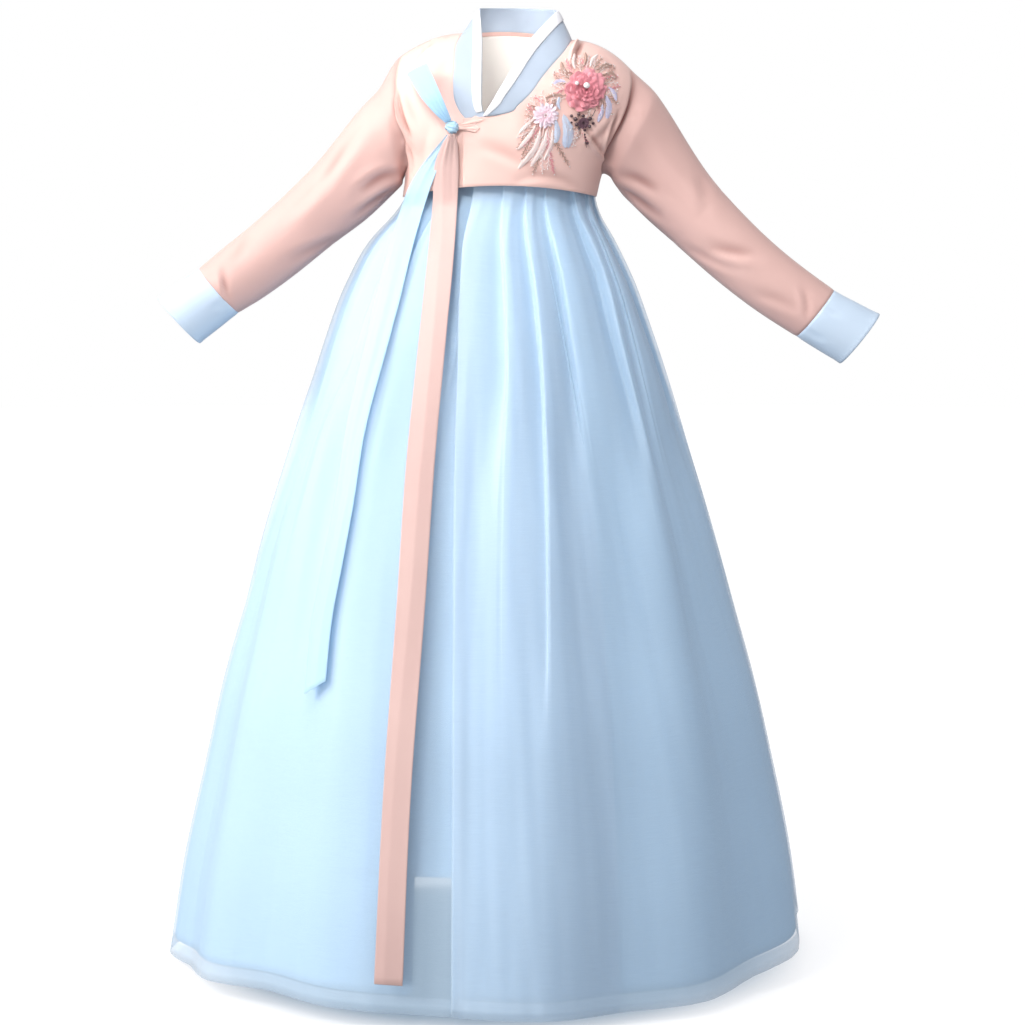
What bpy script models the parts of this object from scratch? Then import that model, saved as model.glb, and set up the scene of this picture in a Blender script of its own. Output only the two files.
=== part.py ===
"""A two-piece dress for a grown woman, worn shape with no wearer: a short jacket with crossed fronts, a
stand collar band and tied ribbons, over a long wrapped skirt of sheer cloth on an opaque lining.

Metres, +Z up. The origin is between the ends of the shoulder seams at the neck. +X is the wearer's
left, and the fronts face -Y. `drop` is a distance below the origin, and `x` is measured from the
body's middle, which leans sideways on the way down.
"""

import math

import bpy
import numpy as np

# Cloth and seams
WALL = 0.0012  # jacket cloth with its interlining
THIN = 0.0010  # skirt cloths and ribbons
SEAM = 0.0003  # gap where two pieces are sewn together

# Jacket
NECK_HALF = 0.081  # half the neck hole at the shoulder seams
NECK_BACK = 0.058  # how far the neck hole reaches back
NECK_HEIGHT = 0.002
NECK_TILT = -0.005  # the wearer's left shoulder sits a little lower
NAPE_RISE = 0.010
SHOULDER_FALL = {"left": 5.25, "right": 4.05}  # drop for each square metre past the neck
SHOULDER_ROUND = 0.085  # height over which a shoulder turns into the chest
HEM_DROP = 0.2195
HEM_SIDE_DROP = 0.0155  # how much lower the hem is at the side seams
SIDE_HALF = 0.146
SECTION_POWER = 2.5
FRONT_LIFT = 0.0034  # the outer front lies this far over the inner one
LIFT_START, LIFT_END = 0.115, 0.055
ARMPIT = 0.153  # fraction of the way from hem to shoulder seam
FREE_EDGE = -0.0803  # place of the outer front's free edge, which hangs plumb
TOP_EDGE = 0.44  # fraction of that edge's top corner
BESIDE = 0.012
COLLAR_END = 0.452  # fraction where the collar band starts, beside that corner
BAND_SHARES = (0, 0.33, 0.66, 1)  # lines across the collar band, from its seam to its free edge
BAND_BULGE = 0.0008
STRIP_TO = 0.985  # the white strip runs from the third line to this share
NECK_HUB = -0.12  # height of a point that the whole band faces away from
NAPE_REACH, NAPE_ARCH = 0.053, 0.005  # the band's free edge behind the neck
UNDER_END = 0.28  # fraction where the band ends on the inner front
HIDDEN_STATIONS = 3  # rows of the band's under end that the outer front covers

# Skirt
SKIRT_TOP = 0.150
PLEATS = 18
PLEAT_STEPS = ((0.0, 0.0), (0.45, 0.40), (0.88, 1.0))  # (place along a pleat, share of its depth)
WAVES, WAVE_SWING = 11, 0.8  # soft folds round the hem, unevenly spaced
WRAP_PLEATS = PLEATS + 2  # the cloth's pleats, two of them under its outer edge
WRAP_STEP = 0.0025  # how far the under edge lies inside the outer one
OUTER_WIDTHS = (0, 11, 20, 29, 38, 47, 59)  # columns where the widths of cloth are sewn together
LINING_WIDTHS = (0, 5, 9, 13, 18, 23, 27)
LINING_TIERS = {"top": (0, 4), "middle": (4, 6), "low": (6, 9)}  # rows that each tier lies between
LONGEST = 1.37  # drop of the hem that the rows are spaced by
LINING_COLUMNS = 24
LINING_LAP = math.radians(8)
LAP_FROM, LAP_STEP = math.radians(288), 0.0016  # the lap turns in this far from here on
LINING_VENT = math.radians(7.0)
VENT_PANEL = math.radians(24)  # the last stretch of lining, which the vent's edge turns
VENT_TOP, VENT_CORNER = 1.187, 0.003
LINING_SHORT = 0.025  # the lining's hem above the outer cloth's
LINING_GAP = 0.0007
LINING_FREE = 0.19  # below this drop the lining hangs clear of the outer cloth
LINING_SLACK = 0.006
BAND_TOP, BAND_BOTTOM = 0.112, 0.166
BAND_WALL = 0.0018
BAND_GAP = 0.0013  # inside the lining, whose flats dip between its columns

# Bow and ribbons
KNOT_CENTRE = (-0.0960, -0.1145, -0.1351)
KNOT_HALF = (0.0095, 0.0075, 0.0105)
RIBBON_GAP = 0.0011
ROOT_GAP = 0.00075
SKIRT_SHOWS = 0.20  # drop past which the skirt can hold a ribbon off the jacket
MEET_POWER = 30.0  # how sharply a ribbon's bed turns from the jacket to the skirt


class Table:
    """A short table with named columns, in order of its first, read smoothly between its rows."""

    def __init__(self, names, rows):
        self.names = names.split()
        self.rows = np.array(rows, float)

    def __call__(self, name, at):
        place, value = self.rows[:, 0], self.rows[:, self.names.index(name)]
        slope = np.gradient(value, place)
        at = np.clip(np.asarray(at, float), place[0], place[-1])
        i = np.clip(np.searchsorted(place, at) - 1, 0, len(place) - 2)
        step = place[i + 1] - place[i]
        t = (at - place[i]) / step
        rise = value[i] + (value[i + 1] - value[i]) * t * t * (3 - 2 * t)
        bend = step * t * (1 - t) * (slope[i] * (1 - t) - slope[i + 1] * t)
        return rise + bend


LEAN = Table(
    "drop middle",
    (
        (-0.06, 0.0), (0.0, 0.0), (0.10, -0.010), (0.20, -0.021), (0.25, -0.030), (0.30, -0.039),
        (0.36, -0.041), (0.52, -0.041), (0.74, -0.041), (1.10, -0.039), (1.38, -0.042),
    ),
)
TORSO = Table(
    "drop half_width front_depth back_depth",
    (
        (-0.02, 0.204, 0.075, 0.084),
        (0.03, 0.204, 0.086, 0.094),
        (0.05, 0.203, 0.091, 0.098),
        (0.09, 0.199, 0.103, 0.105),
        (0.127, 0.188, 0.110, 0.109),
        (0.150, 0.173, 0.1125, 0.110),
        (0.180, 0.152, 0.1125, 0.110),
        (0.203, 0.1468, 0.1120, 0.109),
        (0.235, 0.1448, 0.1100, 0.107),
    ),
)
ARMHOLE = Table(
    "fraction reach",
    (
        (0.153, 0.1468), (0.205, 0.1450), (0.262, 0.1470), (0.427, 0.1570), (0.570, 0.1670),
        (0.789, 0.1755), (0.935, 0.1750), (1.0, 0.1705),
    ),
)
HIDDEN_EDGE = Table("fraction x", ((0, 0.045), (0.153, 0.045), (0.215, 0.030), (0.29, -0.018)))
BODY_ROWS = (0, 0.08, 0.153, 0.215, 0.29, 0.365, 0.44, 0.535, 0.63, 0.73, 0.83, 0.925, 1)
OVER_ROWS = tuple(sorted((*BODY_ROWS, COLLAR_END)))
BACK_STEPS = (3, 6, 3)  # columns of the back: side, neck, side
LINED = (slice(5, -1), slice(3, -3))  # rows and columns of the back that the pale lining covers
# Where each front meets its collar band, and the band's free edge there
COLLAR_OVER = Table(
    "fraction seam edge_x edge_y edge_z",
    (
        (0.452, -0.0200, -0.0390, -0.1130, -0.1189),
        (0.475, -0.0005, -0.0298, -0.1115, -0.1020),
        (0.522, 0.0104, -0.0207, -0.1075, -0.0830),
        (0.594, 0.0251, -0.0083, -0.0965, -0.0570),
        (0.728, 0.0425, 0.0049, -0.0745, -0.0285),
        (0.810, 0.0545, 0.0150, -0.0555, -0.0100),
        (0.908, 0.0700, 0.0330, -0.0310, 0.0130),
        (1.0, 0.0810, 0.0585, -0.0030, 0.0400),
    ),
)
COLLAR_UNDER = Table(
    "fraction seam edge_x edge_y edge_z",
    (
        (0.234, 0.0125, 0.0360, -0.1125, -0.1520),
        (0.297, -0.0220, 0.0025, -0.1125, -0.1400),
        (0.375, -0.0485, -0.0260, -0.1115, -0.1285),
        (0.474, -0.0724, -0.0412, -0.1070, -0.1080),
        (0.549, -0.0827, -0.0442, -0.1020, -0.0880),
        (0.649, -0.0880, -0.0470, -0.0935, -0.0640),
        (0.785, -0.0900, -0.0505, -0.0730, -0.0330),
        (0.927, -0.0898, -0.0537, -0.0360, 0.0080),
        (1.0, -0.0829, -0.0565, -0.0030, 0.0430),
    ),
)
SLEEVE_COLUMNS = "place middle_x middle_y middle_z half_width half_depth tilt"
SLEEVE_LEFT = Table(
    SLEEVE_COLUMNS,
    (
        (-0.5, 0.1748, -0.0030, -0.1475, 0.0698, 0.0610, 60.0),
        (0, 0.1896, -0.0050, -0.1703, 0.0655, 0.0540, 50.0),
        (1, 0.2284, -0.0120, -0.2222, 0.0580, 0.0490, 43.5),
        (2, 0.2675, -0.0220, -0.2643, 0.0525, 0.0455, 46.5),
        (3, 0.3242, -0.0360, -0.3190, 0.0490, 0.0425, 51.5),
        (4, 0.3786, -0.0470, -0.3640, 0.0465, 0.0405, 55.0),
        (5, 0.4403, -0.0580, -0.4069, 0.0442, 0.0385, 51.5),
        (6, 0.4730, -0.0625, -0.4262, 0.0452, 0.0385, 51.7),
        (7, 0.5058, -0.0660, -0.4444, 0.0463, 0.0385, 51.8),
    ),
)
SLEEVE_RIGHT = Table(
    SLEEVE_COLUMNS,
    (
        (-0.5, -0.1928, -0.0030, -0.1475, 0.0670, 0.0610, 108.5),
        (0, -0.2110, -0.0050, -0.1695, 0.0620, 0.0540, 125.0),
        (1, -0.2608, -0.0120, -0.2245, 0.0560, 0.0490, 131.0),
        (2, -0.3111, -0.0220, -0.2690, 0.0510, 0.0455, 133.5),
        (3, -0.3640, -0.0360, -0.3145, 0.0487, 0.0425, 131.5),
        (4, -0.4071, -0.0470, -0.3475, 0.0470, 0.0405, 128.5),
        (5, -0.4427, -0.0580, -0.3736, 0.0440, 0.0385, 131.5),
        (6, -0.4721, -0.0625, -0.3953, 0.0450, 0.0385, 132.0),
        (7, -0.5015, -0.0660, -0.4170, 0.0458, 0.0385, 132.1),
    ),
)
CUFF_PLACE = 5
CUFF_UNIT = 0.033  # length of cuff for each unit of place
SLEEVE_STEPS = (-0.5, 0, 1, 2, 3, 4, 5)
SLEEVE_LENGTHS = {"upper": (0, 4), "lower": (4, 7)}  # rows that each length of a sleeve lies between
SKIRT = Table(
    "drop half_width half_depth pleat wave",
    (
        (0.150, 0.1330, 0.0950, 0.0022, 0.0),
        (0.200, 0.1405, 0.1010, 0.0025, 0.0),
        (0.235, 0.1428, 0.1050, 0.0035, 0.0),
        (0.255, 0.1520, 0.1170, 0.0060, 0.0005),
        (0.300, 0.1850, 0.1470, 0.0095, 0.001),
        (0.360, 0.2180, 0.1780, 0.0110, 0.003),
        (0.440, 0.2505, 0.2140, 0.0105, 0.006),
        (0.520, 0.2785, 0.2440, 0.0090, 0.009),
        (0.620, 0.3110, 0.2800, 0.0060, 0.012),
        (0.740, 0.3490, 0.3240, 0.0030, 0.014),
        (0.860, 0.3820, 0.3620, 0.0012, 0.015),
        (0.980, 0.4150, 0.4000, 0.0004, 0.016),
        (1.100, 0.4415, 0.4280, 0.0, 0.017),
        (1.220, 0.4660, 0.4530, 0.0, 0.018),
        (1.380, 0.4900, 0.4750, 0.0, 0.019),
    ),
)
SKIRT_ROWS = (0, 0.045, 0.075, 0.105, 0.15, 0.22, 0.32, 0.45, 0.62, 0.81, 1)
LINING_ROWS = (0, 0.075, 0.125, 0.20, 0.32, 0.47, 0.66)
HEM = Table(
    "degrees drop",
    (
        (-180, 1.352), (-130, 1.362), (-84, 1.3785), (-60, 1.366), (-40, 1.360), (-10, 1.367),
        (10, 1.370), (30, 1.369), (48, 1.363), (64, 1.350), (84, 1.334), (120, 1.338), (180, 1.352),
    ),
)
WRAP_EDGE = Table(
    "drop degrees",
    ((0.15, -19), (0.22, -17), (0.30, -13), (0.40, -11), (0.55, -10), (0.90, -8), (1.38, -6.2)),
)
PEACH_TAIL = Table(
    "drop middle_x width forward",
    (
        (0.146, -0.0960, 0.010, 0.0094), (0.160, -0.0990, 0.023, 0.0074),
        (0.185, -0.1030, 0.035, 0.0042), (0.241, -0.1055, 0.038, 0.0010),
        (0.327, -0.1117, 0.040, 0.0), (0.427, -0.1209, 0.0405, 0.0), (0.609, -0.1375, 0.041, 0.0),
        (0.802, -0.1495, 0.041, 0.0), (1.072, -0.1680, 0.041, 0.0), (1.322, -0.1787, 0.041, 0.0),
    ),
)
BLUE_TAIL = Table(
    "drop middle_x width forward",
    (
        (0.146, -0.0990, 0.009, 0.0072), (0.175, -0.1175, 0.022, 0.0030),
        (0.215, -0.1385, 0.033, 0.0006), (0.281, -0.1610, 0.036, 0.0), (0.391, -0.1885, 0.036, 0.0),
        (0.450, -0.2030, 0.034, 0.0), (0.571, -0.2322, 0.030, 0.0), (0.684, -0.2490, 0.031, 0.0),
        (0.765, -0.2640, 0.033, 0.0), (0.838, -0.2776, 0.034, 0.0), (0.930, -0.2860, 0.033, 0.0),
    ),
)
TAIL_ROWS = (0, 0.012, 0.035, 0.065, 0.10, 0.15, 0.22, 0.32, 0.46, 0.62, 0.8, 1)
RIBBON_TURN = 0.95  # share of a tail's width that shows from the front
RIBBON_CUT_SLANT = 0.020  # the blue tail's end is cut on a slant
BLUE_LOOP = Table(
    "place x y z width open",
    (
        (0, -0.1010, -0.1190, -0.1270, 0.009, 0.0040),
        (1, -0.1120, -0.1215, -0.1120, 0.018, 0.0074),
        (2, -0.1270, -0.1190, -0.0880, 0.027, 0.0081),
        (3, -0.1400, -0.1060, -0.0640, 0.031, 0.0056),
        (4, -0.1465, -0.0950, -0.0520, 0.033, 0.0040),
    ),
)
LOOP_TILT = math.radians(28)  # the loop's width turned from level
LOOP_ROUND = 0.004  # how far its fold reaches past the last place
RIBBON_ROOT = Table(
    "place x z width forward",
    (
        (0, -0.0560, -0.1330, 0.016, 0.0),
        (1, -0.0660, -0.1335, 0.015, 0.0002),
        (2, -0.0770, -0.1342, 0.012, 0.0018),
        (3, -0.0864, -0.1350, 0.008, 0.0044),
    ),
)

# Flower spray on the outer front: x from the body's middle, and height
ROSETTE = (0.1060, -0.0820)
ROSETTE_RADIUS = 0.0310
ROSETTE_PETALS = 9
ROSETTE_RINGS = ((1.0, 0.0022), (0.84, 0.0065), (0.55, 0.0100), (0.22, 0.0110))
BLOSSOM = (0.0520, -0.1190)
BLOSSOM_RADIUS = 0.0170
BLOSSOM_PETALS = 5
BLOSSOM_RINGS = ((1.0, 0.0018), (0.62, 0.0038), (0.25, 0.0030))
BUD = (0.1080, -0.1290)
BUD_RADIUS = 0.0090
BUD_RINGS = ((1.0, 0.0018), (0.62, 0.0034), (0.25, 0.0038))
PEARLS = {"pearl_large": (0.1035, -0.0800, 0.0048), "pearl_small": (0.0900, -0.0765, 0.0032)}
LEAVES = {  # root x, root height, tip x, tip height, half width, bend
    "leaf_long": (0.0450, -0.1390, 0.0190, -0.1990, 0.0062, -0.005),
    "leaf_feather": (0.0775, -0.1200, 0.0850, -0.1640, 0.0060, 0.003),
    "leaf_side": (0.1390, -0.0900, 0.1430, -0.1230, 0.0048, 0.002),
    "leaf_upper": (0.0985, -0.0450, 0.1310, -0.0500, 0.0042, 0.004),
}
LEAF_HEIGHTS = (0.0020, 0.0024, 0.0020)  # edge, rib, edge above the panel
LEAF_ENDS, LEAF_FULLNESS = (0.08, 0.96), 0.8  # the part of a sine arch that is a leaf's half width
LOBE_DEPTH = 0.18
ON_PANEL = 0.0009  # the spray's backing above the panel's surface
PEARL_GAP = 0.0006


# Meshes -----------------------------------------------------------------------------------------


def material(name, colour, roughness, metallic=0.0):
    made = bpy.data.materials.new(name)
    made.use_nodes = True
    shader = made.node_tree.nodes["Principled BSDF"]
    shader.inputs["Base Color"].default_value = (*colour, 1)
    shader.inputs["Roughness"].default_value = roughness
    shader.inputs["Metallic"].default_value = metallic
    return made


def add_object(name, points, triangles, finish):
    """A named closed mesh, turned so that its faces point out."""
    points, triangles = np.asarray(points, float), np.asarray(triangles, int)
    a, b, c = (points[triangles[:, i]] for i in range(3))
    if np.einsum("ij,ij->i", a, np.cross(b, c)).sum() < 0:
        triangles = triangles[:, ::-1]
    mesh = bpy.data.meshes.new(name)
    mesh.from_pydata(points.tolist(), [], triangles.tolist())
    mesh.materials.append(finish)
    mesh.shade_smooth()
    mesh.set_sharp_from_angle(angle=math.radians(40))
    made = bpy.data.objects.new(name, mesh)
    bpy.context.scene.collection.objects.link(made)
    return made


def unit(vectors):
    return vectors / np.maximum(np.linalg.norm(vectors, axis=-1, keepdims=True), 1e-12)


def along(points, axis, closed):
    """Differences between the neighbours of each point, along one axis of a grid."""
    if closed:
        return np.roll(points, -1, axis) - np.roll(points, 1, axis)
    return np.gradient(points, axis=axis)


def normals(points, outward, closed=False):
    """Unit normals of a grid [row][column], on the side that outward points to."""
    found = unit(np.cross(along(points, 0, False), along(points, 1, closed)))
    return found if (found * outward).sum() > 0 else -found


def sheet_solid(name, outer, inner, finish, closed=False):
    """A closed wall between two grids of the same shape, both split along the same diagonals. With
    closed, its columns go all round."""
    rows, columns = outer.shape[:2]
    index = np.arange(rows * columns).reshape(rows, columns)
    under = index + rows * columns
    faces = []

    def add_quad(a, b, c, d):
        faces.extend([(a, b, c), (a, c, d)])

    for j in range(columns if closed else columns - 1):
        k = (j + 1) % columns
        for i in range(rows - 1):
            add_quad(index[i, j], index[i, k], index[i + 1, k], index[i + 1, j])
            add_quad(under[i, j], under[i + 1, j], under[i + 1, k], under[i, k])
        add_quad(under[0, j], under[0, k], index[0, k], index[0, j])
        add_quad(index[-1, j], index[-1, k], under[-1, k], under[-1, j])
    if not closed:
        for i in range(rows - 1):
            add_quad(index[i, 0], index[i + 1, 0], under[i + 1, 0], under[i, 0])
            add_quad(under[i, -1], under[i + 1, -1], index[i + 1, -1], index[i, -1])
    points = np.concatenate([outer.reshape(-1, 3), inner.reshape(-1, 3)])
    return add_object(name, points, faces, finish)


def sewn_pieces(names, outer, inner, cuts, finish, closed=False):
    """The cloth between two grids as the pieces that it is sewn from, between the columns in cuts, with
    a seam's gap at the start of every piece but the first, or of every one where they go all round."""
    for name, start, end in zip(names, cuts, cuts[1:]):
        walls = []
        for grid in (outer, inner):
            piece = np.take(grid, range(start, end + 1), axis=1, mode="wrap")
            if start or closed:
                piece[:, 0] += SEAM * unit(piece[:, 1] - piece[:, 0])
            walls.append(piece)
        sheet_solid(name, *walls, finish)


def between_rows(grids, start, end):
    """Grids cut down to the rows from start to end, with a seam's gap before all but the first."""
    parts = []
    for grid in grids:
        part = grid[start : end + 1].copy()
        if start:
            part[0] += SEAM * unit(part[1] - part[0])
        parts.append(part)
    return parts


# The torso's surface ----------------------------------------------------------------------------


def seam_height(x):
    """Height of the shoulder seam at x, and of the neck line between its two ends."""
    past = np.maximum(np.abs(x) - NECK_HALF, 0)
    fall = np.where(x > 0, SHOULDER_FALL["left"], SHOULDER_FALL["right"])
    return NECK_HEIGHT + NECK_TILT * np.clip(x / NECK_HALF, -1, 1) - fall * past**2


def in_neck(x):
    return np.maximum(1 - (x / NECK_HALF) ** 2, 0)


def top_height(x, back):
    return seam_height(x) + (NAPE_RISE * in_neck(x) if back else 0)


def hem_height(x):
    return -(HEM_DROP + HEM_SIDE_DROP * (x / SIDE_HALF) ** 2)


def shoulder_turn(x, z, back):
    """0 on the shoulder seam, rising to 1 on the chest."""
    down = np.clip((top_height(x, back) - z) / SHOULDER_ROUND, 0, 1)
    return np.sqrt(1 - (1 - down) ** 2)


def torso_depth(x, z, back=False):
    """How far the torso's surface stands before, or behind, the plane of the side seams."""
    across = np.abs(x) / TORSO("half_width", -z)
    section = np.maximum(1 - across**SECTION_POWER, 0) ** (1 / SECTION_POWER)
    depth = TORSO("back_depth" if back else "front_depth", -z) * section
    neck = NECK_BACK * np.sqrt(in_neck(x)) if back else 0
    return neck + (depth - neck) * shoulder_turn(x, z, back)


def lift(x, z):
    """How far the outer front stands off the inner one: nothing at its side, armhole and shoulder."""
    share = np.clip((LIFT_START - x) / (LIFT_START - LIFT_END), 0, 1)
    return FRONT_LIFT * share**2 * (3 - 2 * share) * shoulder_turn(x, z, False)


def body_point(x, z, back=False, lifted=False):
    depth = torso_depth(x, z, back) + (lift(x, z) if lifted else 0)
    y = np.maximum(depth, 0) + SEAM / 2
    return np.stack([x + LEAN("middle", -z), y if back else -y, z], -1)


def edge_reach(fraction):
    """x of a panel's side: the side seam up to the armpit, then the armhole."""
    z = hem_height(SIDE_HALF) * (1 - fraction) + seam_height(SIDE_HALF) * fraction
    return np.where(fraction < ARMPIT, TORSO("half_width", -z), ARMHOLE("reach", fraction))


def row_heights(x, fraction, back):
    return hem_height(x) + (top_height(x, back) - hem_height(x)) * fraction


def body_grid(fractions, stops, counts, back=False, lifted=False):
    """Points of a panel. Each row runs through its stops, x values that depend on its fraction, with
    counts steps between them, spaced by angle so that the sides stay round."""
    rows = []
    for fraction in fractions:
        xs = [float(stop(fraction)) for stop in stops]
        widest = max(float(edge_reach(fraction)), *(abs(x) for x in xs))
        angles = [math.asin(max(-1, min(1, x / widest))) for x in xs]
        line = [angles[0]]
        for start, end, count in zip(angles, angles[1:], counts):
            line += list(np.linspace(start, end, count + 1)[1:])
        x = widest * np.sin(line)
        rows.append(body_point(x, row_heights(x, fraction, back), back, lifted))
    return np.array(rows)


def panel_walls(points, back):
    """The inner face of a panel, with its seams at the shoulder and side cut square."""
    out = normals(points, (0, 1, 0) if back else (0, -1, 0))
    on_seam = np.abs(points[..., 1]) < SEAM
    out[on_seam, 1] = 0
    return points - WALL * unit(out)


def outer_front_edge(fraction):
    """x of the outer front's free edge and, above its top corner, of its collar seam."""
    if fraction <= TOP_EDGE:
        return FREE_EDGE - LEAN("middle", -row_heights(FREE_EDGE, fraction, False))
    return COLLAR_OVER("seam", fraction)


def inner_front_edge(fraction):
    """x of the inner front's hidden edge and, above it, of its collar seam."""
    if fraction < UNDER_END:
        return HIDDEN_EDGE("x", fraction)
    return COLLAR_UNDER("seam", fraction)


def beside_edge(fraction):
    """x of a line just inside the outer front's edge, past which its columns stay straight."""
    if fraction <= COLLAR_END:
        return 0.0
    return COLLAR_OVER("seam", fraction) + BESIDE


def build_jacket_body(peach, ivory):
    """The back, its visible lining and the two fronts. Returns their grids of (outer, inner)."""
    back_stops = (
        lambda fraction: -edge_reach(fraction),
        lambda fraction: -NECK_HALF,
        lambda fraction: NECK_HALF,
        edge_reach,
    )
    under_stops = (lambda fraction: -edge_reach(fraction), inner_front_edge)
    over_stops = (outer_front_edge, beside_edge, edge_reach)
    panels = {
        "jeogori_back": body_grid(BODY_ROWS, back_stops, BACK_STEPS, back=True),
        "jeogori_front_outer": body_grid(OVER_ROWS, over_stops, (2, 8), lifted=True),
        "jeogori_front_inner": body_grid(BODY_ROWS, under_stops, (8,)),
    }
    grids = {}
    for name, points in panels.items():
        inner = panel_walls(points, name == "jeogori_back")
        sheet_solid(name, points, inner, peach)
        grids[name] = (points, inner)
    build_back_lining(grids["jeogori_back"], ivory)
    return grids


def build_back_lining(back, finish):
    """The pale lining seen through the neck: a wall just inside the back, short of its edges."""
    outer, inner = back
    out = unit(outer - inner)[LINED]
    face = inner[LINED] - SEAM * out
    sheet_solid("jeogori_back_lining", face, face - THIN * out, finish)


# Sleeves and cuffs ------------------------------------------------------------------------------


def edge_leave(outer, inner, near, closed=False):
    """Unit directions that leave a panel square to its edge face; near is the line beside the edge."""
    leave = unit(np.cross(along(outer, 0, closed), inner - outer))
    leave[np.einsum("ij,ij->i", leave, outer - near) < 0] *= -1
    return leave


def armhole_loop(front, back, side):
    """The armhole's edge, from the shoulder down the front and up the back: its outer points, and for
    each the direction that leaves the panels."""
    column, beside = (-1, -2) if side > 0 else (0, 1)
    first = BODY_ROWS.index(ARMPIT)
    rings = []
    for grid in (front[0], front[1], back[0], back[1]):
        rings.append((grid[first:, column], grid[first:, beside]))
    (f_out, f_near), (f_in, _), (b_out, b_near), (b_in, _) = rings

    def join(fronts, backs):
        top = (fronts[-1] + backs[-1]) / 2
        pit = (fronts[0] + backs[0]) / 2
        return np.array([top, *fronts[-2:0:-1], pit, *backs[1:-1]])

    outer, inner, near = join(f_out, b_out), join(f_in, b_in), join(f_near, b_near)
    return outer, edge_leave(outer, inner, near, closed=True)


def sleeve_ring(table, place, around, shrink=0.0):
    """Points of one oval section of a sleeve; around is 0 on top, a quarter turn at the front."""
    tilt = math.radians(float(table("tilt", place)))
    middle = np.array([float(table(f"middle_{axis}", place)) for axis in "xyz"])
    half_width = float(table("half_width", place)) - shrink
    half_depth = float(table("half_depth", place)) - shrink
    up = np.array([math.cos(tilt), 0, math.sin(tilt)])
    forward = np.array([0, -1.0, 0])
    return (
        middle
        + half_width * np.cos(around)[:, None] * up
        + half_depth * np.sin(around)[:, None] * forward
    )


def loop_angles(loop):
    """An even half turn down the front of the loop and another up its back, by length."""
    steps = np.linalg.norm(np.roll(loop, -1, 0) - loop, axis=1)
    half = len(loop) // 2
    front = np.concatenate([[0], np.cumsum(steps[:half])])
    back = np.concatenate([[0], np.cumsum(steps[half:])])
    return np.concatenate(
        [math.pi * front[:-1] / front[-1], math.pi * (1 + back[:-1] / back[-1])]
    )


def build_sleeve(side_name, table, loop, peach, blue):
    """A sleeve from the armhole to the wrist, and its cuff."""
    edge, leave = loop
    around = loop_angles(edge)
    start = edge + SEAM * leave
    outer = np.array([start] + [sleeve_ring(table, s, around) for s in SLEEVE_STEPS])
    inner = np.array([start] + [sleeve_ring(table, s, around, WALL) for s in SLEEVE_STEPS])
    away = outer[:2] - outer[:2].mean(axis=1, keepdims=True)
    inward = -normals(outer[:2], away, closed=True)[0]
    crossing = np.minimum(np.einsum("ij,ij->i", inward, leave), 0)
    inner[0] = start + WALL * unit(inward - crossing[:, None] * leave)
    cuts = (0, len(edge) // 2, len(edge))
    for length, rows in SLEEVE_LENGTHS.items():
        names = [f"sleeve_{side_name}_{length}_{half}" for half in ("front", "back")]
        sewn_pieces(names, *between_rows((outer, inner), *rows), cuts, peach, closed=True)
    places = (CUFF_PLACE + SEAM / CUFF_UNIT, CUFF_PLACE + 2)
    cuff_out = np.array([sleeve_ring(table, s, around) for s in places])
    cuff_in = np.array([sleeve_ring(table, s, around, WALL) for s in places])
    sheet_solid(f"cuff_{side_name}", cuff_out, cuff_in, blue, closed=True)


# Collar -----------------------------------------------------------------------------------------


def collar_edge(table, fractions):
    z = table("edge_z", fractions)
    x = table("edge_x", fractions) + LEAN("middle", -z)
    return np.stack([x, table("edge_y", fractions), z], -1)


def nape_line(start, end, count):
    """The band's free edge round the back of the neck, without its two ends."""
    turn = np.linspace(0, math.pi, count)[1:-1]
    middle, half = (start + end) / 2, (start[0] - end[0]) / 2
    x = middle[0] + half * np.cos(turn)
    y = middle[1] + NAPE_REACH * np.sin(turn)
    z = start[2] + (end[2] - start[2]) * turn / math.pi + NAPE_ARCH * np.sin(turn)
    return np.stack([x, y, z], -1)


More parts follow.
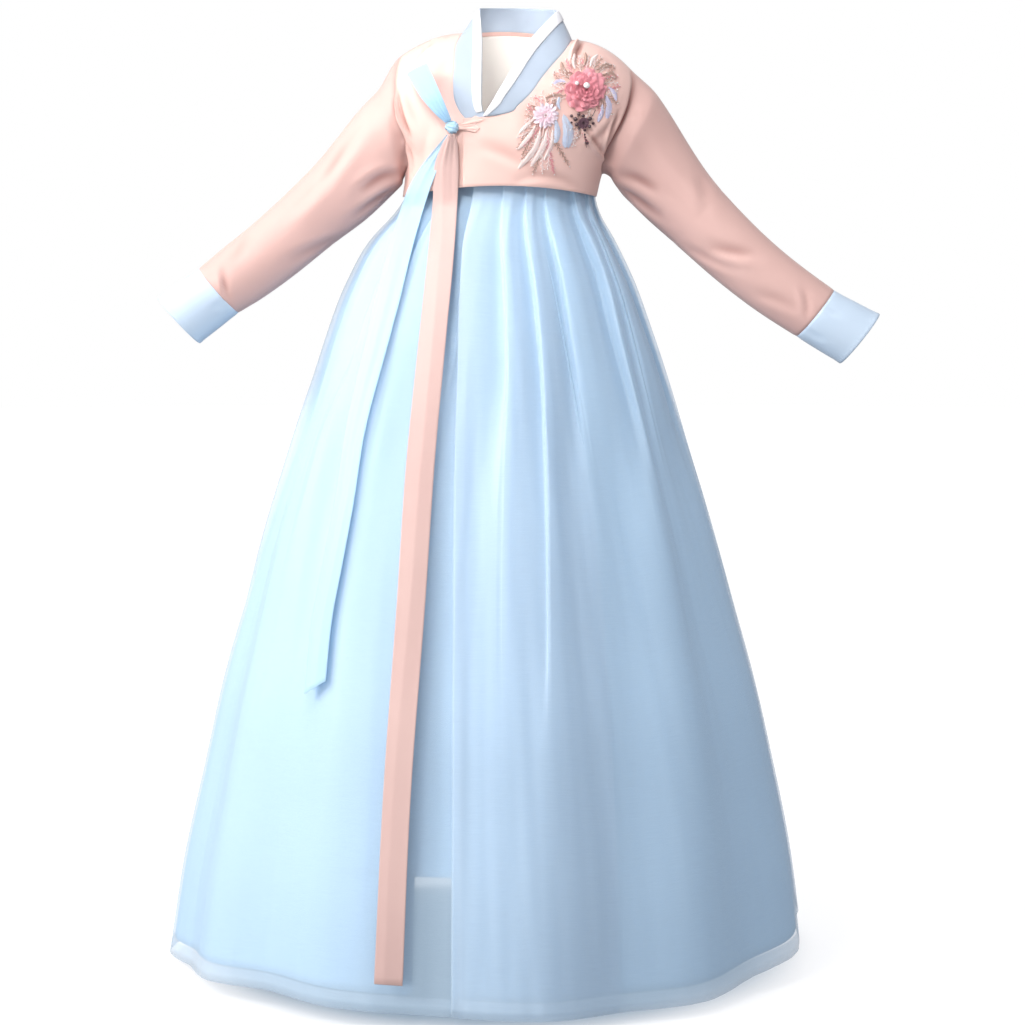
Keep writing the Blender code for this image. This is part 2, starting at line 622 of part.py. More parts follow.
def build_collar(grids, blue, white):
    """The collar band, up the outer front, round the back of the neck and down the inner front, and
    the white strip on its free edge."""
    over_pick = [i for i, fraction in enumerate(OVER_ROWS) if fraction >= COLLAR_END]
    under_pick = [i for i, fraction in enumerate(BODY_ROWS) if fraction >= UNDER_END][::-1]
    neck_pick = np.arange(BACK_STEPS[0] + BACK_STEPS[1], BACK_STEPS[0] - 1, -1)
    runs = []
    for name, line in (
        ("jeogori_front_outer", lambda grid, beside: grid[over_pick, beside]),
        ("jeogori_back", lambda grid, beside: grid[-1 - beside, neck_pick]),
        ("jeogori_front_inner", lambda grid, beside: grid[under_pick, -1 - beside]),
    ):
        outer, inner = grids[name]
        leave = edge_leave(line(outer, 0), line(inner, 0), line(outer, 1))
        runs.append(line(outer, 0) + 2 * SEAM * leave)
    over, nape, under = runs
    over_edge = collar_edge(COLLAR_OVER, np.array(OVER_ROWS)[over_pick])
    under_edge = collar_edge(COLLAR_UNDER, np.array(BODY_ROWS)[under_pick])
    nape_edge = nape_line(over_edge[-1], under_edge[0], len(neck_pick))
    left_corner, right_corner = (over[-1:] + nape[:1]) / 2, (nape[-1:] + under[:1]) / 2
    seam = np.concatenate([over[:-1], left_corner, nape[1:-1], right_corner, under[1:]])
    edge = np.concatenate([over_edge, nape_edge, under_edge])

    shares = np.array(BAND_SHARES)[:, None]
    points = seam[:, None] + (edge - seam)[:, None] * shares
    away = points - np.array([edge[:, 0].mean(), 0.0, NECK_HUB])
    shown = np.arange(len(seam)) < len(seam) - HIDDEN_STATIONS
    bulge = BAND_BULGE * shown[:, None, None] * normals(points, away)
    points[:, 1:-1] += bulge[:, 1:-1]
    out = normals(points, away)
    sheet_solid("git_band", points, points - WALL * out, blue)

    to = (STRIP_TO - BAND_SHARES[-2]) / (1 - BAND_SHARES[-2])
    strip = np.stack([points[:, -2], points[:, -2] * (1 - to) + points[:, -1] * to], axis=1)[shown]
    face = strip + 2 * SEAM * out[shown][:, -2:]
    sheet_solid("dongjeong_strip", face + THIN * out[shown][:, -2:], face, white)


# Skirt ------------------------------------------------------------------------------------------


def wrap_angle(drop):
    return np.radians(WRAP_EDGE("degrees", drop))


def skirt_point(angle, drop, inset):
    """A point of the skirt's outside, moved in by inset. Angle 0 is the front, and it grows towards
    the wearer's left."""
    half_width = SKIRT("half_width", drop) - inset
    half_depth = SKIRT("half_depth", drop) - inset
    x = LEAN("middle", drop) + half_width * np.sin(angle)
    return np.stack([x, -half_depth * np.cos(angle), -drop + 0 * angle], -1)


def hem_drop(angle):
    turned = (np.degrees(angle) + 180) % 360 - 180
    return HEM("drop", turned)


def fold_inset(angle, drop, share):
    """Depth of the pleats near the waist and of the soft waves below; share is a pleat's profile."""
    wave = 0.5 - 0.5 * np.cos(WAVES * angle + WAVE_SWING * np.sin(2 * angle))
    return SKIRT("pleat", drop) * share + SKIRT("wave", drop) * wave


def pleat_columns():
    """(angle from the wrap edge, share of the pleat's depth) for each column of the outer cloth."""
    pitch = 2 * math.pi / PLEATS
    return np.array(
        [((k + place) * pitch, share) for k in range(WRAP_PLEATS) for place, share in PLEAT_STEPS]
    ).T


def build_outer_skirt(finish):
    """The sheer cloth: pleated into the band, wrapped once round with its free edge on the front."""
    turn, share = pleat_columns()
    under = np.clip((turn - math.pi) / math.pi, 0, 1)
    step = WRAP_STEP * under**2 * (3 - 2 * under)
    outer, inner = [], []
    for part in SKIRT_ROWS:
        drop = SKIRT_TOP + (LONGEST - SKIRT_TOP) * part
        angle = wrap_angle(drop) + turn
        drop = SKIRT_TOP + (hem_drop(angle) - SKIRT_TOP) * part
        inset = fold_inset(angle, drop, share) + step
        outer.append(skirt_point(angle, drop, inset))
        inner.append(skirt_point(angle, drop, inset + THIN))
    names = [f"chima_outer_{number}" for number in range(1, len(OUTER_WIDTHS))]
    sewn_pieces(names, np.array(outer), np.array(inner), OUTER_WIDTHS, finish)


def lining_inset(drop):
    folds = SKIRT("pleat", drop) + SKIRT("wave", drop)
    slack = LINING_SLACK * np.clip((drop - LINING_FREE) / 0.1, 0, 1)
    return folds + WRAP_STEP + THIN + LINING_GAP + slack


def build_lining(finish):
    """The opaque cloth under it, shorter at the hem, with a vent below the wrap edge."""
    vent = (VENT_TOP - SKIRT_TOP) / (LONGEST - SKIRT_TOP)
    rows = [(part, LINING_LAP) for part in (*LINING_ROWS, vent - VENT_CORNER)]
    rows += [(part, -LINING_VENT) for part in (vent, 1)]
    outer, inner = [], []
    for part, past in rows:
        middle = SKIRT_TOP + (LONGEST - LINING_SHORT - SKIRT_TOP) * part
        fixed = np.append(0, np.linspace(LINING_LAP, 2 * math.pi - VENT_PANEL, LINING_COLUMNS))
        turn = np.concatenate([fixed, np.linspace(fixed[-1], 2 * math.pi + past, 4)[1:]])
        angle = wrap_angle(middle) + turn
        drop = SKIRT_TOP + (hem_drop(angle) - LINING_SHORT - SKIRT_TOP) * part
        under = np.clip((turn - LAP_FROM) / (2 * math.pi - LAP_FROM), 0, 1)
        inset = lining_inset(drop) + LAP_STEP * under
        outer.append(skirt_point(angle, drop, inset))
        inner.append(skirt_point(angle, drop, inset + THIN))
    grids = np.array(outer), np.array(inner)
    for tier, rows in LINING_TIERS.items():
        names = [f"chima_lining_{tier}_{number}" for number in range(1, len(LINING_WIDTHS))]
        sewn_pieces(names, *between_rows(grids, *rows), LINING_WIDTHS, finish)


def build_waistband(finish):
    """The plain band that both cloths hang from, round the chest under the jacket."""
    angle = np.linspace(0, 2 * math.pi, 32, endpoint=False)
    inset = lining_inset(SKIRT_TOP) + THIN + LAP_STEP + BAND_GAP
    rings = []
    for more in (0, BAND_WALL):
        ring = skirt_point(angle, np.full_like(angle, SKIRT_TOP), inset + more)
        rings.append(np.array([ring, ring]))
        rings[-1][0, :, 2] = -BAND_TOP
        rings[-1][1, :, 2] = -BAND_BOTTOM
    sheet_solid("chima_waistband", *rings, finish, closed=True)


# Ribbons ----------------------------------------------------------------------------------------


def clothes_depth(x, z):
    """How far the clothes stand forward at x and z: the jacket's front, or the skirt past it."""
    middle = LEAN("middle", -z)
    under_hem = np.maximum(z, hem_height(x - middle))
    jacket = torso_depth(x - LEAN("middle", -under_hem), under_hem)
    across = (x - middle) / SKIRT("half_width", -z)
    skirt = SKIRT("half_depth", -z) * np.sqrt(1 - across**2)
    skirt = np.where(-z < SKIRT_SHOWS, 0, skirt)
    return (jacket**MEET_POWER + skirt**MEET_POWER) ** (1 / MEET_POWER)


def hanging_ribbon(name, table, stretch, finish, slant=0.0):
    """A flat ribbon hanging from the knot down the front, five points across."""
    first, last = table.rows[0, 0], table.rows[-1, 0]
    across = np.linspace(-0.5, 0.5, 5)
    surface = []
    for part in stretch:
        drop = first + (last - first) * part
        x = table("middle_x", drop) + across * table("width", drop) * RIBBON_TURN
        z = -drop + slant * across * part**6
        surface.append(np.stack([x, -clothes_depth(x, z) - table("forward", drop), z], -1))
    surface = np.array(surface)
    out = normals(surface, (0, -1, 0))
    face = surface + RIBBON_GAP * out
    sheet_solid(name, face + THIN * out, face, finish)


def build_loop(finish):
    """A bow loop: one ribbon up from the knot, folded over at its end and back down behind."""
    places = np.linspace(0, 4, 6)
    middle = np.stack([BLUE_LOOP(name, places) for name in "xyz"], -1)
    half_open = np.stack([0 * places, BLUE_LOOP("open", places) / 2, 0 * places], -1)
    fold = middle[-1:] + LOOP_ROUND * unit(middle[-1:] - middle[-2:-1])
    line = np.concatenate([middle - half_open, fold, (middle + half_open)[::-1]])
    width = BLUE_LOOP("width", np.concatenate([places, places[-1:], places[::-1]]))
    level = np.array([math.cos(LOOP_TILT), 0.0, math.sin(LOOP_TILT)])
    across = np.array([-0.5, 0, 0.5])[:, None] * level
    points = line[:, None] + width[:, None, None] * across
    out = normals(points, points - middle.mean(axis=0))
    sheet_solid("goreum_blue_loop", points, points - THIN * out, finish)


def build_root(finish):
    """The peach ribbon from its seam on the outer front to the knot."""
    surface = []
    for s in np.linspace(0, 3, 5):
        x, z, width, forward = (float(RIBBON_ROOT(name, s)) for name in ("x", "z", "width", "forward"))
        rise = z + width * np.array([-0.5, 0, 0.5])
        body_x = x - LEAN("middle", -rise)
        depth = torso_depth(body_x, rise) + lift(body_x, rise) + forward
        surface.append(np.stack([np.full(3, x), -depth, rise], -1))
    surface = np.array(surface)
    out = normals(surface, (0, -1, 0))
    face = surface + ROOT_GAP * out
    sheet_solid("goreum_peach_root", face + THIN * out, face, finish)


def oval(name, centre, half, around, levels, finish):
    """A closed rounded body: rings from pole to pole."""
    points = [np.array(centre) + (0, 0, half[2])]
    for level in range(1, levels):
        tilt = math.pi * level / levels
        for k in range(around):
            turn = 2 * math.pi * k / around
            way = (math.sin(tilt) * math.cos(turn), math.sin(tilt) * math.sin(turn), math.cos(tilt))
            points.append(np.array(centre) + np.array(way) * half)
    points.append(np.array(centre) - (0, 0, half[2]))
    faces = []
    for k in range(around):
        nxt = (k + 1) % around
        faces.append((0, 1 + k, 1 + nxt))
        foot = 1 + (levels - 2) * around
        faces.append((len(points) - 1, foot + nxt, foot + k))
        for level in range(levels - 2):
            a, b = 1 + level * around + k, 1 + level * around + nxt
            faces += [(a, a + around, b + around), (a, b + around, b)]
    return add_object(name, points, faces, finish)


# Flower spray -----------------------------------------------------------------------------------


def on_outer_front(x, z, height):
    """A point this high above the outer front, square to it."""
    step = 0.001
    here = body_point(x, z, lifted=True)
    right = body_point(x + step, z, lifted=True) - body_point(x - step, z, lifted=True)
    up = body_point(x, z + step, lifted=True) - body_point(x, z - step, lifted=True)
    return here + unit(np.cross(right, up)) * np.asarray(height)[..., None]


def build_flower(name, centre, radius, petals, rings, finish):
    """A lobed dome on the panel, rings of (share of the radius, height)."""
    turn = np.linspace(0, 2 * math.pi, petals * 3, endpoint=False)
    lobes = 1 - LOBE_DEPTH * (1 - np.abs(np.cos(petals * turn / 2)))
    top, base = [], []
    for share, height in rings:
        reach = radius * share * lobes
        x = centre[0] + reach * np.cos(turn)
        z = centre[1] + reach * np.sin(turn)
        top.append(on_outer_front(x, z, np.full_like(x, height)))
        base.append(on_outer_front(x, z, np.full_like(x, ON_PANEL)))
    middle = np.full(1, centre[0]), np.full(1, centre[1])
    tip = on_outer_front(*middle, np.full(1, rings[-1][1]))
    foot = on_outer_front(*middle, np.full(1, ON_PANEL))
    count = len(turn)
    points = np.concatenate([*top, *base, tip, foot])
    levels = len(rings)
    faces = []
    for k in range(count):
        nxt = (k + 1) % count
        for i in range(levels - 1):
            a, b, c, d = i * count + k, i * count + nxt, (i + 1) * count + nxt, (i + 1) * count + k
            faces += [(a, b, c), (a, c, d)]
            shift = levels * count
            faces += [(c + shift, b + shift, a + shift), (d + shift, c + shift, a + shift)]
        rim, under = k, levels * count + k
        faces += [(rim, levels * count + nxt, nxt), (rim, under, levels * count + nxt)]
        crown = (levels - 1) * count
        faces.append((crown + k, crown + nxt, len(points) - 2))
        sole = (2 * levels - 1) * count
        faces.append((sole + nxt, sole + k, len(points) - 1))
    return add_object(name, points, faces, finish)


def build_leaf(name, root, tip, half_width, bend, finish):
    """A pointed leaf on the panel, bowed sideways by bend."""
    root, tip = np.array(root), np.array(tip)
    line = tip - root
    side = np.array([-line[1], line[0]]) / np.linalg.norm(line)
    top, base = [], []
    for t in np.linspace(0, 1, 7):
        middle = root + line * t + side * bend * math.sin(math.pi * t)
        half = half_width * math.sin(math.pi * np.interp(t, (0, 1), LEAF_ENDS)) ** LEAF_FULLNESS
        x, z = (middle[i] + side[i] * half * np.array([-1, 0, 1]) for i in (0, 1))
        top.append(on_outer_front(x, z, np.array(LEAF_HEIGHTS)))
        base.append(on_outer_front(x, z, np.full(3, ON_PANEL)))
    sheet_solid(name, np.array(top), np.array(base), finish)


def build_spray(finishes):
    build_flower("rosette", ROSETTE, ROSETTE_RADIUS, ROSETTE_PETALS, ROSETTE_RINGS, finishes["rose"])
    build_flower("blossom", BLOSSOM, BLOSSOM_RADIUS, BLOSSOM_PETALS, BLOSSOM_RINGS, finishes["lilac"])
    build_flower("bud", BUD, BUD_RADIUS, BLOSSOM_PETALS, BUD_RINGS, finishes["plum"])
    for name, (x0, z0, x1, z1, half_width, bend) in LEAVES.items():
        build_leaf(name, (x0, z0), (x1, z1), half_width, bend, finishes[name])
    for name, (x, z, radius) in PEARLS.items():
        away = math.hypot(x - ROSETTE[0], z - ROSETTE[1]) / ROSETTE_RADIUS
        shares, heights = zip(*sorted(ROSETTE_RINGS))
        height = float(np.interp(away, shares, heights))
        seat = height + radius + PEARL_GAP
        centre = on_outer_front(np.array([x]), np.array([z]), np.array([seat]))[0]
        oval(name, centre, (radius,) * 3, 8, 5, finishes["pearl"])


def main():
    for old in list(bpy.data.objects):
        bpy.data.objects.remove(old)
    peach = material("peach satin", (0.82, 0.48, 0.38), 0.42)
    ivory = material("ivory lining", (0.84, 0.74, 0.60), 0.55)
    blue = material("pale blue satin", (0.50, 0.66, 0.85), 0.40)
    white = material("white band", (0.84, 0.84, 0.88), 0.45)
    sheer = material("sheer blue", (0.42, 0.66, 0.90), 0.50)
    lining = material("blue lining", (0.38, 0.62, 0.88), 0.50)
    finishes = {
        "rose": material("rose chiffon", (0.78, 0.25, 0.28), 0.55),
        "lilac": material("lilac chiffon", (0.72, 0.52, 0.68), 0.55),
        "plum": material("plum beads", (0.10, 0.05, 0.06), 0.30),
        "pearl": material("pearl", (0.86, 0.78, 0.70), 0.15),
        "leaf_long": material("ivory thread", (0.84, 0.68, 0.62), 0.45),
        "leaf_feather": material("blue thread", (0.50, 0.58, 0.76), 0.45),
        "leaf_side": material("lilac thread", (0.56, 0.54, 0.74), 0.45),
        "leaf_upper": material("taupe thread", (0.62, 0.48, 0.40), 0.45),
    }
    grids = build_jacket_body(peach, ivory)
    back = grids["jeogori_back"]
    matched = [i for i, fraction in enumerate(OVER_ROWS) if fraction in BODY_ROWS]
    outer_front = tuple(grid[matched] for grid in grids["jeogori_front_outer"])
    inner_front = grids["jeogori_front_inner"]
    build_sleeve("left", SLEEVE_LEFT, armhole_loop(outer_front, back, 1), peach, blue)
    build_sleeve("right", SLEEVE_RIGHT, armhole_loop(inner_front, back, -1), peach, blue)
    build_collar(grids, blue, white)
    build_outer_skirt(sheer)
    build_lining(lining)
    build_waistband(ivory)
    hanging_ribbon("goreum_peach_tail", PEACH_TAIL, TAIL_ROWS, peach)
    hanging_ribbon("goreum_blue_tail", BLUE_TAIL, TAIL_ROWS, sheer, RIBBON_CUT_SLANT)
    build_loop(sheer)
    build_root(peach)
    oval("goreum_knot", KNOT_CENTRE, KNOT_HALF, 10, 7, sheer)
    build_spray(finishes)


main()
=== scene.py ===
"""A two-piece dress in its worn shape: a short satin jacket with crossed fronts, collar band, tied
ribbons and a flower spray, over a long pleated wrap skirt of sheer cloth on an opaque lining.

Metres, +Z up, origin between the neck ends of the shoulder seams. +X is the wearer's left, and the
fronts face -Y. A `drop` is a distance below the origin.
"""

import math

import bpy
import numpy as np
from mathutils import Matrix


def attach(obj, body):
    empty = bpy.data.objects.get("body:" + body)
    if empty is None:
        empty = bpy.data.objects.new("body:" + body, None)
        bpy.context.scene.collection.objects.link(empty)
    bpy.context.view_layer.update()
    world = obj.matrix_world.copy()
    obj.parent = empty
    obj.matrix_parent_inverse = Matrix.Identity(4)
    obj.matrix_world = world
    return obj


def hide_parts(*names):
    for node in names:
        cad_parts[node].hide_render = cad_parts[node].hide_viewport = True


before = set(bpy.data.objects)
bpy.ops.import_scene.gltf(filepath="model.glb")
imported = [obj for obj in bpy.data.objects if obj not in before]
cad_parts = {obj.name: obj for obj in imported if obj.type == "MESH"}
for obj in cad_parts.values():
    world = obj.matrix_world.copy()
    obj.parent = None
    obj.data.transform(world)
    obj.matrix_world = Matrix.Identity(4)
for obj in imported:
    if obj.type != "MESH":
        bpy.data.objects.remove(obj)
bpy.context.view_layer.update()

# Studio -----------------------------------------------------------------------------------------
# A plain pale floor just under the hem, a white surround that only the camera sees, and soft light:
# a wide lamp far on the left, weaker ones low on the left, in front, overhead, on the right and
# inside the neck, and a grey sky.

FLOOR_DROP = 1.3865
SURROUND = 14.0
SKY_ABOVE, SKY_BELOW = (0.56, 0.565, 0.585), (0.33, 0.335, 0.355)
FLOOR_GLOW, GLOW_FROM, GLOW_FULL = 0.76, 0.37, 0.51  # the floor's glow fades in over these distances out, round an oval under the hem, inside which a blue shade is painted
SHADE_PLACE, SHADE_STRETCH = (0.042, -0.086, 0), (1, 0.80, 0)  # round an oval under the hem,
SHADE_TONE = (0.19, 0.27, 0.35)  # which lies in blue shade


class Wire:
    """A shader socket, so that sums on what varies over a surface are written as sums."""

    def __init__(self, tree, socket=None):
        self.tree, self.socket = tree, socket

    def node(self, kind, settings=None, inputs=None, output=0):
        """A node by its type, its settings, and the values or links of its sockets."""
        made = self.tree.nodes.new(kind)
        for name, value in (settings or {}).items():
            setattr(made, name, value)
        for key, value in (inputs or {}).items():
            plug(made.inputs[key], value)
        return Wire(self.tree, made.outputs[output])

    def sum(self, operation, *values):
        return self.node("ShaderNodeMath", {"operation": operation}, dict(enumerate(values)))

    def __add__(self, other):
        return self.sum("ADD", self, other)

    __radd__ = __add__

    def __mul__(self, other):
        return self.sum("MULTIPLY", self, other)

    __rmul__ = __mul__


def plug(socket, value):
    if isinstance(value, Wire):
        value.tree.links.new(value.socket, socket)
    elif hasattr(value, "__len__") and len(socket.default_value) == 4 and len(value) == 3:
        socket.default_value = (*value, 1)
    else:
        socket.default_value = value


def new_finish(name, **sockets):
    """A material and the start of its shader, with its constant sockets set."""
    made = bpy.data.materials.new(name)
    made.use_nodes = True
    tree = made.node_tree
    shader = tree.nodes["Principled BSDF"]
    for key, value in sockets.items():
        plug(shader.inputs[key.replace("_", " ")], value)
    return made, Wire(tree), shader


def paint(start, low, high, share):
    """A colour between two, either of which may itself vary, by a share that varies."""
    low, high = (each if isinstance(each, Wire) else (*each, 1) for each in (low, high))
    return start.node("ShaderNodeMix", {"data_type": "RGBA"}, {0: share, 6: low, 7: high}, output=2)


def smooth_step(start, value, low, high):
    """0 below low, 1 above high, and smooth between them."""
    sockets = {0: value, 1: low, 2: high}
    return start.node("ShaderNodeMapRange", {"interpolation_type": "SMOOTHSTEP"}, sockets)


floor_finish, start, shader = new_finish("floor", Roughness=0.9)
place = start.node("ShaderNodeTexCoord", output=3)
near = start.node("ShaderNodeTexGradient", {"gradient_type": "SPHERICAL"}, {"Vector": start.node(
    "ShaderNodeMapping", {}, {"Vector": place, "Scale": (0.22, 0.22, 0.22)}
)}, output=1)
plug(shader.inputs["Base Color"], paint(start, (0.0, 0.0, 0.0), (0.36, 0.36, 0.365), near))
glow = paint(start, (1.0, 1.0, 1.0), (FLOOR_GLOW, FLOOR_GLOW, FLOOR_GLOW * 1.01), near)
# Painted shade: in an oval under the skirt, the floor's glow gives way to a blue shade tone.
beneath = start.node(
    "ShaderNodeMapping", {}, {"Vector": place, "Location": SHADE_PLACE, "Scale": SHADE_STRETCH}
)
reach = start.node("ShaderNodeVectorMath", {"operation": "LENGTH"}, {0: beneath}, output=1)
outside_painted_shade = smooth_step(start, reach, GLOW_FROM, GLOW_FULL)
plug(shader.inputs["Emission Color"], paint(start, SHADE_TONE, glow, outside_painted_shade))
shader.inputs["Emission Strength"].default_value = 1.0

bpy.ops.mesh.primitive_circle_add(
    vertices=96, radius=SURROUND, fill_type="NGON", location=(0, 0, -FLOOR_DROP)
)
floor = bpy.context.object
floor.name = "floor"
floor.data.materials.append(floor_finish)

white, start, shader = new_finish("surround")
glow = start.node("ShaderNodeEmission", {}, {"Color": (1.0, 1.0, 1.0), "Strength": 1.0})
white.node_tree.links.new(glow.socket, white.node_tree.nodes["Material Output"].inputs["Surface"])
bpy.ops.mesh.primitive_uv_sphere_add(segments=48, ring_count=24, radius=SURROUND * 0.99)
surround = bpy.context.object
surround.name = "surround"
surround.data.materials.append(white)
for ray in ("diffuse", "glossy", "transmission", "volume_scatter", "shadow"):
    setattr(surround, f"visible_{ray}", False)
    setattr(floor, f"visible_{ray}", False)

sky = bpy.data.worlds.new("sky")
sky.use_nodes = True
start = Wire(sky.node_tree)
way = start.node("ShaderNodeSeparateXYZ", {}, {0: start.node("ShaderNodeTexCoord")}, output=2)
height = smooth_step(start, way, -0.5, 0.5)
plug(sky.node_tree.nodes["Background"].inputs["Color"], paint(start, SKY_BELOW, SKY_ABOVE, height))
scene = bpy.context.scene
scene.world = sky
scene.view_settings.view_transform = "Standard"


def add_lamp(name, place, aim, side, watts, colour):
    lamp = bpy.data.lights.new(name, "AREA")
    lamp.shape, lamp.size, lamp.energy, lamp.color = "DISK", side, watts, colour
    made = bpy.data.objects.new(name, lamp)
    made.location = place
    way = np.array(aim) - np.array(place)
    flat = math.hypot(way[0], way[1])
    made.rotation_euler = (math.atan2(flat, -way[2]), 0, math.atan2(way[1], way[0]) - math.pi / 2)
    made.visible_camera = False
    scene.collection.objects.link(made)


add_lamp("key", (-4.15, -1.3, 1.9), (0, 0, -0.6), 2.2, 196, (1.0, 0.985, 0.96))
add_lamp("front", (-0.26, -0.90, 0.36), (-0.05, 0, -0.16), 0.3, 6.0, (1.0, 0.99, 0.985))
add_lamp("overhead", (-0.6, -0.5, 2.6), (0, 0, -0.4), 1.8, 26, (1.0, 1.0, 1.0))
add_lamp("low", (-1.8, -2.5, -0.9), (-0.25, -0.2, -0.9), 1.2, 19, (1.0, 0.995, 0.985))
add_lamp("side", (3.2, -2.8, -0.2), (0, 0, -0.8), 2.2, 14, (0.86, 0.92, 1.0))
add_lamp("neck", (-0.006, -0.030, -0.040), (-0.006, 0.08, -0.055), 0.04, 0.105, (1.0, 0.98, 0.96))

lens = bpy.data.cameras.new("camera")
lens.sensor_fit, lens.sensor_width, lens.lens = "HORIZONTAL", 36.0, 106.03
camera = bpy.data.objects.new("camera", lens)
camera.location = (-0.008, -4.54, -0.27)
camera.rotation_euler = (math.radians(90 - 5.53), 0, 0)
scene.collection.objects.link(camera)
scene.camera = camera

# Jacket back and fronts --------------------------------------------------------------------------
# Back, outer front and inner front: warp-faced silk satin on a thin interlining, edges turned in.
# They are sewn together at the sides and shoulders, and the outer front laps over the inner one.

WALL = 0.0012
SEAM = 0.0003  # gap where two pieces are sewn together
NECK_HALF, NECK_BACK, NECK_HEIGHT, NECK_TILT, NAPE_RISE = 0.081, 0.058, 0.002, -0.005, 0.010
SHOULDER_FALL = {"left": 5.25, "right": 4.05}
SHOULDER_ROUND = 0.085
HEM_DROP, HEM_SIDE_DROP, SIDE_HALF = 0.2195, 0.0155, 0.146
SECTION_POWER = 2.5
FRONT_LIFT, LIFT_START, LIFT_END = 0.0034, 0.115, 0.055
ARMPIT, UNDER_END = 0.153, 0.28  # fractions of the way from hem to shoulder seam
FREE_EDGE, TOP_EDGE, BESIDE, COLLAR_END = -0.0803, 0.44, 0.012, 0.452


class Table:
    """A short table with named columns, in order of its first, read smoothly between its rows."""

    def __init__(self, names, rows):
        self.names = names.split()
        self.rows = np.array(rows, float)

    def __call__(self, name, at):
        place, value = self.rows[:, 0], self.rows[:, self.names.index(name)]
        slope = np.gradient(value, place)
        at = np.clip(np.asarray(at, float), place[0], place[-1])
        i = np.clip(np.searchsorted(place, at) - 1, 0, len(place) - 2)
        step = place[i + 1] - place[i]
        t = (at - place[i]) / step
        rise = value[i] + (value[i + 1] - value[i]) * t * t * (3 - 2 * t)
        bend = step * t * (1 - t) * (slope[i] * (1 - t) - slope[i + 1] * t)
        return rise + bend


LEAN = Table(
    "drop middle",
    (
        (-0.06, 0.0), (0.0, 0.0), (0.10, -0.010), (0.20, -0.021), (0.25, -0.030), (0.30, -0.039),
        (0.36, -0.041), (0.52, -0.041), (0.74, -0.041), (1.10, -0.039), (1.38, -0.042),
    ),
)
TORSO = Table(
    "drop half_width front_depth back_depth",
    (
        (-0.02, 0.204, 0.075, 0.084),
        (0.03, 0.204, 0.086, 0.094),
        (0.05, 0.203, 0.091, 0.098),
        (0.09, 0.199, 0.103, 0.105),
        (0.127, 0.188, 0.110, 0.109),
        (0.150, 0.173, 0.1125, 0.110),
        (0.180, 0.152, 0.1125, 0.110),
        (0.203, 0.1468, 0.1120, 0.109),
        (0.235, 0.1448, 0.1100, 0.107),
    ),
)
ARMHOLE = Table(
    "fraction reach",
    (
        (0.153, 0.1468), (0.205, 0.1450), (0.262, 0.1470), (0.427, 0.1570), (0.570, 0.1670),
        (0.789, 0.1755), (0.935, 0.1750), (1.0, 0.1705),
    ),
)
HIDDEN_EDGE = Table("fraction x", ((0, 0.045), (0.153, 0.045), (0.215, 0.030), (0.29, -0.018)))
# Where each front meets its collar band, and the band's free edge there
COLLAR_OVER = Table(
    "fraction seam edge_x edge_y edge_z",
    (
        (0.452, -0.0200, -0.0390, -0.1130, -0.1189),
        (0.475, -0.0005, -0.0298, -0.1115, -0.1020),
        (0.522, 0.0104, -0.0207, -0.1075, -0.0830),
        (0.594, 0.0251, -0.0083, -0.0965, -0.0570),
        (0.728, 0.0425, 0.0049, -0.0745, -0.0285),
        (0.810, 0.0545, 0.0150, -0.0555, -0.0100),
        (0.908, 0.0700, 0.0330, -0.0310, 0.0130),
        (1.0, 0.0810, 0.0585, -0.0030, 0.0400),
    ),
)
COLLAR_UNDER = Table(
    "fraction seam edge_x edge_y edge_z",
    (
        (0.234, 0.0125, 0.0360, -0.1125, -0.1520),
        (0.297, -0.0220, 0.0025, -0.1125, -0.1400),
        (0.375, -0.0485, -0.0260, -0.1115, -0.1285),
        (0.474, -0.0724, -0.0412, -0.1070, -0.1080),
        (0.549, -0.0827, -0.0442, -0.1020, -0.0880),
        (0.649, -0.0880, -0.0470, -0.0935, -0.0640),
        (0.785, -0.0900, -0.0505, -0.0730, -0.0330),
        (0.927, -0.0898, -0.0537, -0.0360, 0.0080),
        (1.0, -0.0829, -0.0565, -0.0030, 0.0430),
    ),
)


def unit(vectors):
    return vectors / np.maximum(np.linalg.norm(vectors, axis=-1, keepdims=True), 1e-12)


def ease(share):
    """0 to 1 with level ends."""
    share = np.clip(share, 0, 1)
    return share * share * (3 - 2 * share)


def along(points, axis, closed):
    """Differences between the neighbours of each point, along one axis of a grid."""
    if closed:
        return np.roll(points, -1, axis) - np.roll(points, 1, axis)
    return np.gradient(points, axis=axis)


def normals(points, outward, closed=False):
    """Unit normals of a grid [row][column], on the side that outward points to."""
    found = unit(np.cross(along(points, 0, False), along(points, 1, closed)))
    return found if (found * outward).sum() > 0 else -found


def seam_height(x):
    """Height of the shoulder seam at x, and of the neck line between its two ends."""
    past = np.maximum(np.abs(x) - NECK_HALF, 0)
    fall = np.where(x > 0, SHOULDER_FALL["left"], SHOULDER_FALL["right"])
    return NECK_HEIGHT + NECK_TILT * np.clip(x / NECK_HALF, -1, 1) - fall * past**2


def in_neck(x):
    return np.maximum(1 - (x / NECK_HALF) ** 2, 0)


def top_height(x, back):
    return seam_height(x) + (NAPE_RISE * in_neck(x) if back else 0)


def hem_height(x):
    return -(HEM_DROP + HEM_SIDE_DROP * (x / SIDE_HALF) ** 2)


def shoulder_turn(x, z, back):
    """0 on the shoulder seam, rising to 1 on the chest."""
    down = np.clip((top_height(x, back) - z) / SHOULDER_ROUND, 0, 1)
    return np.sqrt(1 - (1 - down) ** 2)


def torso_depth(x, z, back=False):
    """How far the torso's surface stands before, or behind, the plane of the side seams."""
    across = np.abs(x) / TORSO("half_width", -z)
    section = np.maximum(1 - across**SECTION_POWER, 0) ** (1 / SECTION_POWER)
    depth = TORSO("back_depth" if back else "front_depth", -z) * section
    neck = NECK_BACK * np.sqrt(in_neck(x)) if back else 0
    return neck + (depth - neck) * shoulder_turn(x, z, back)


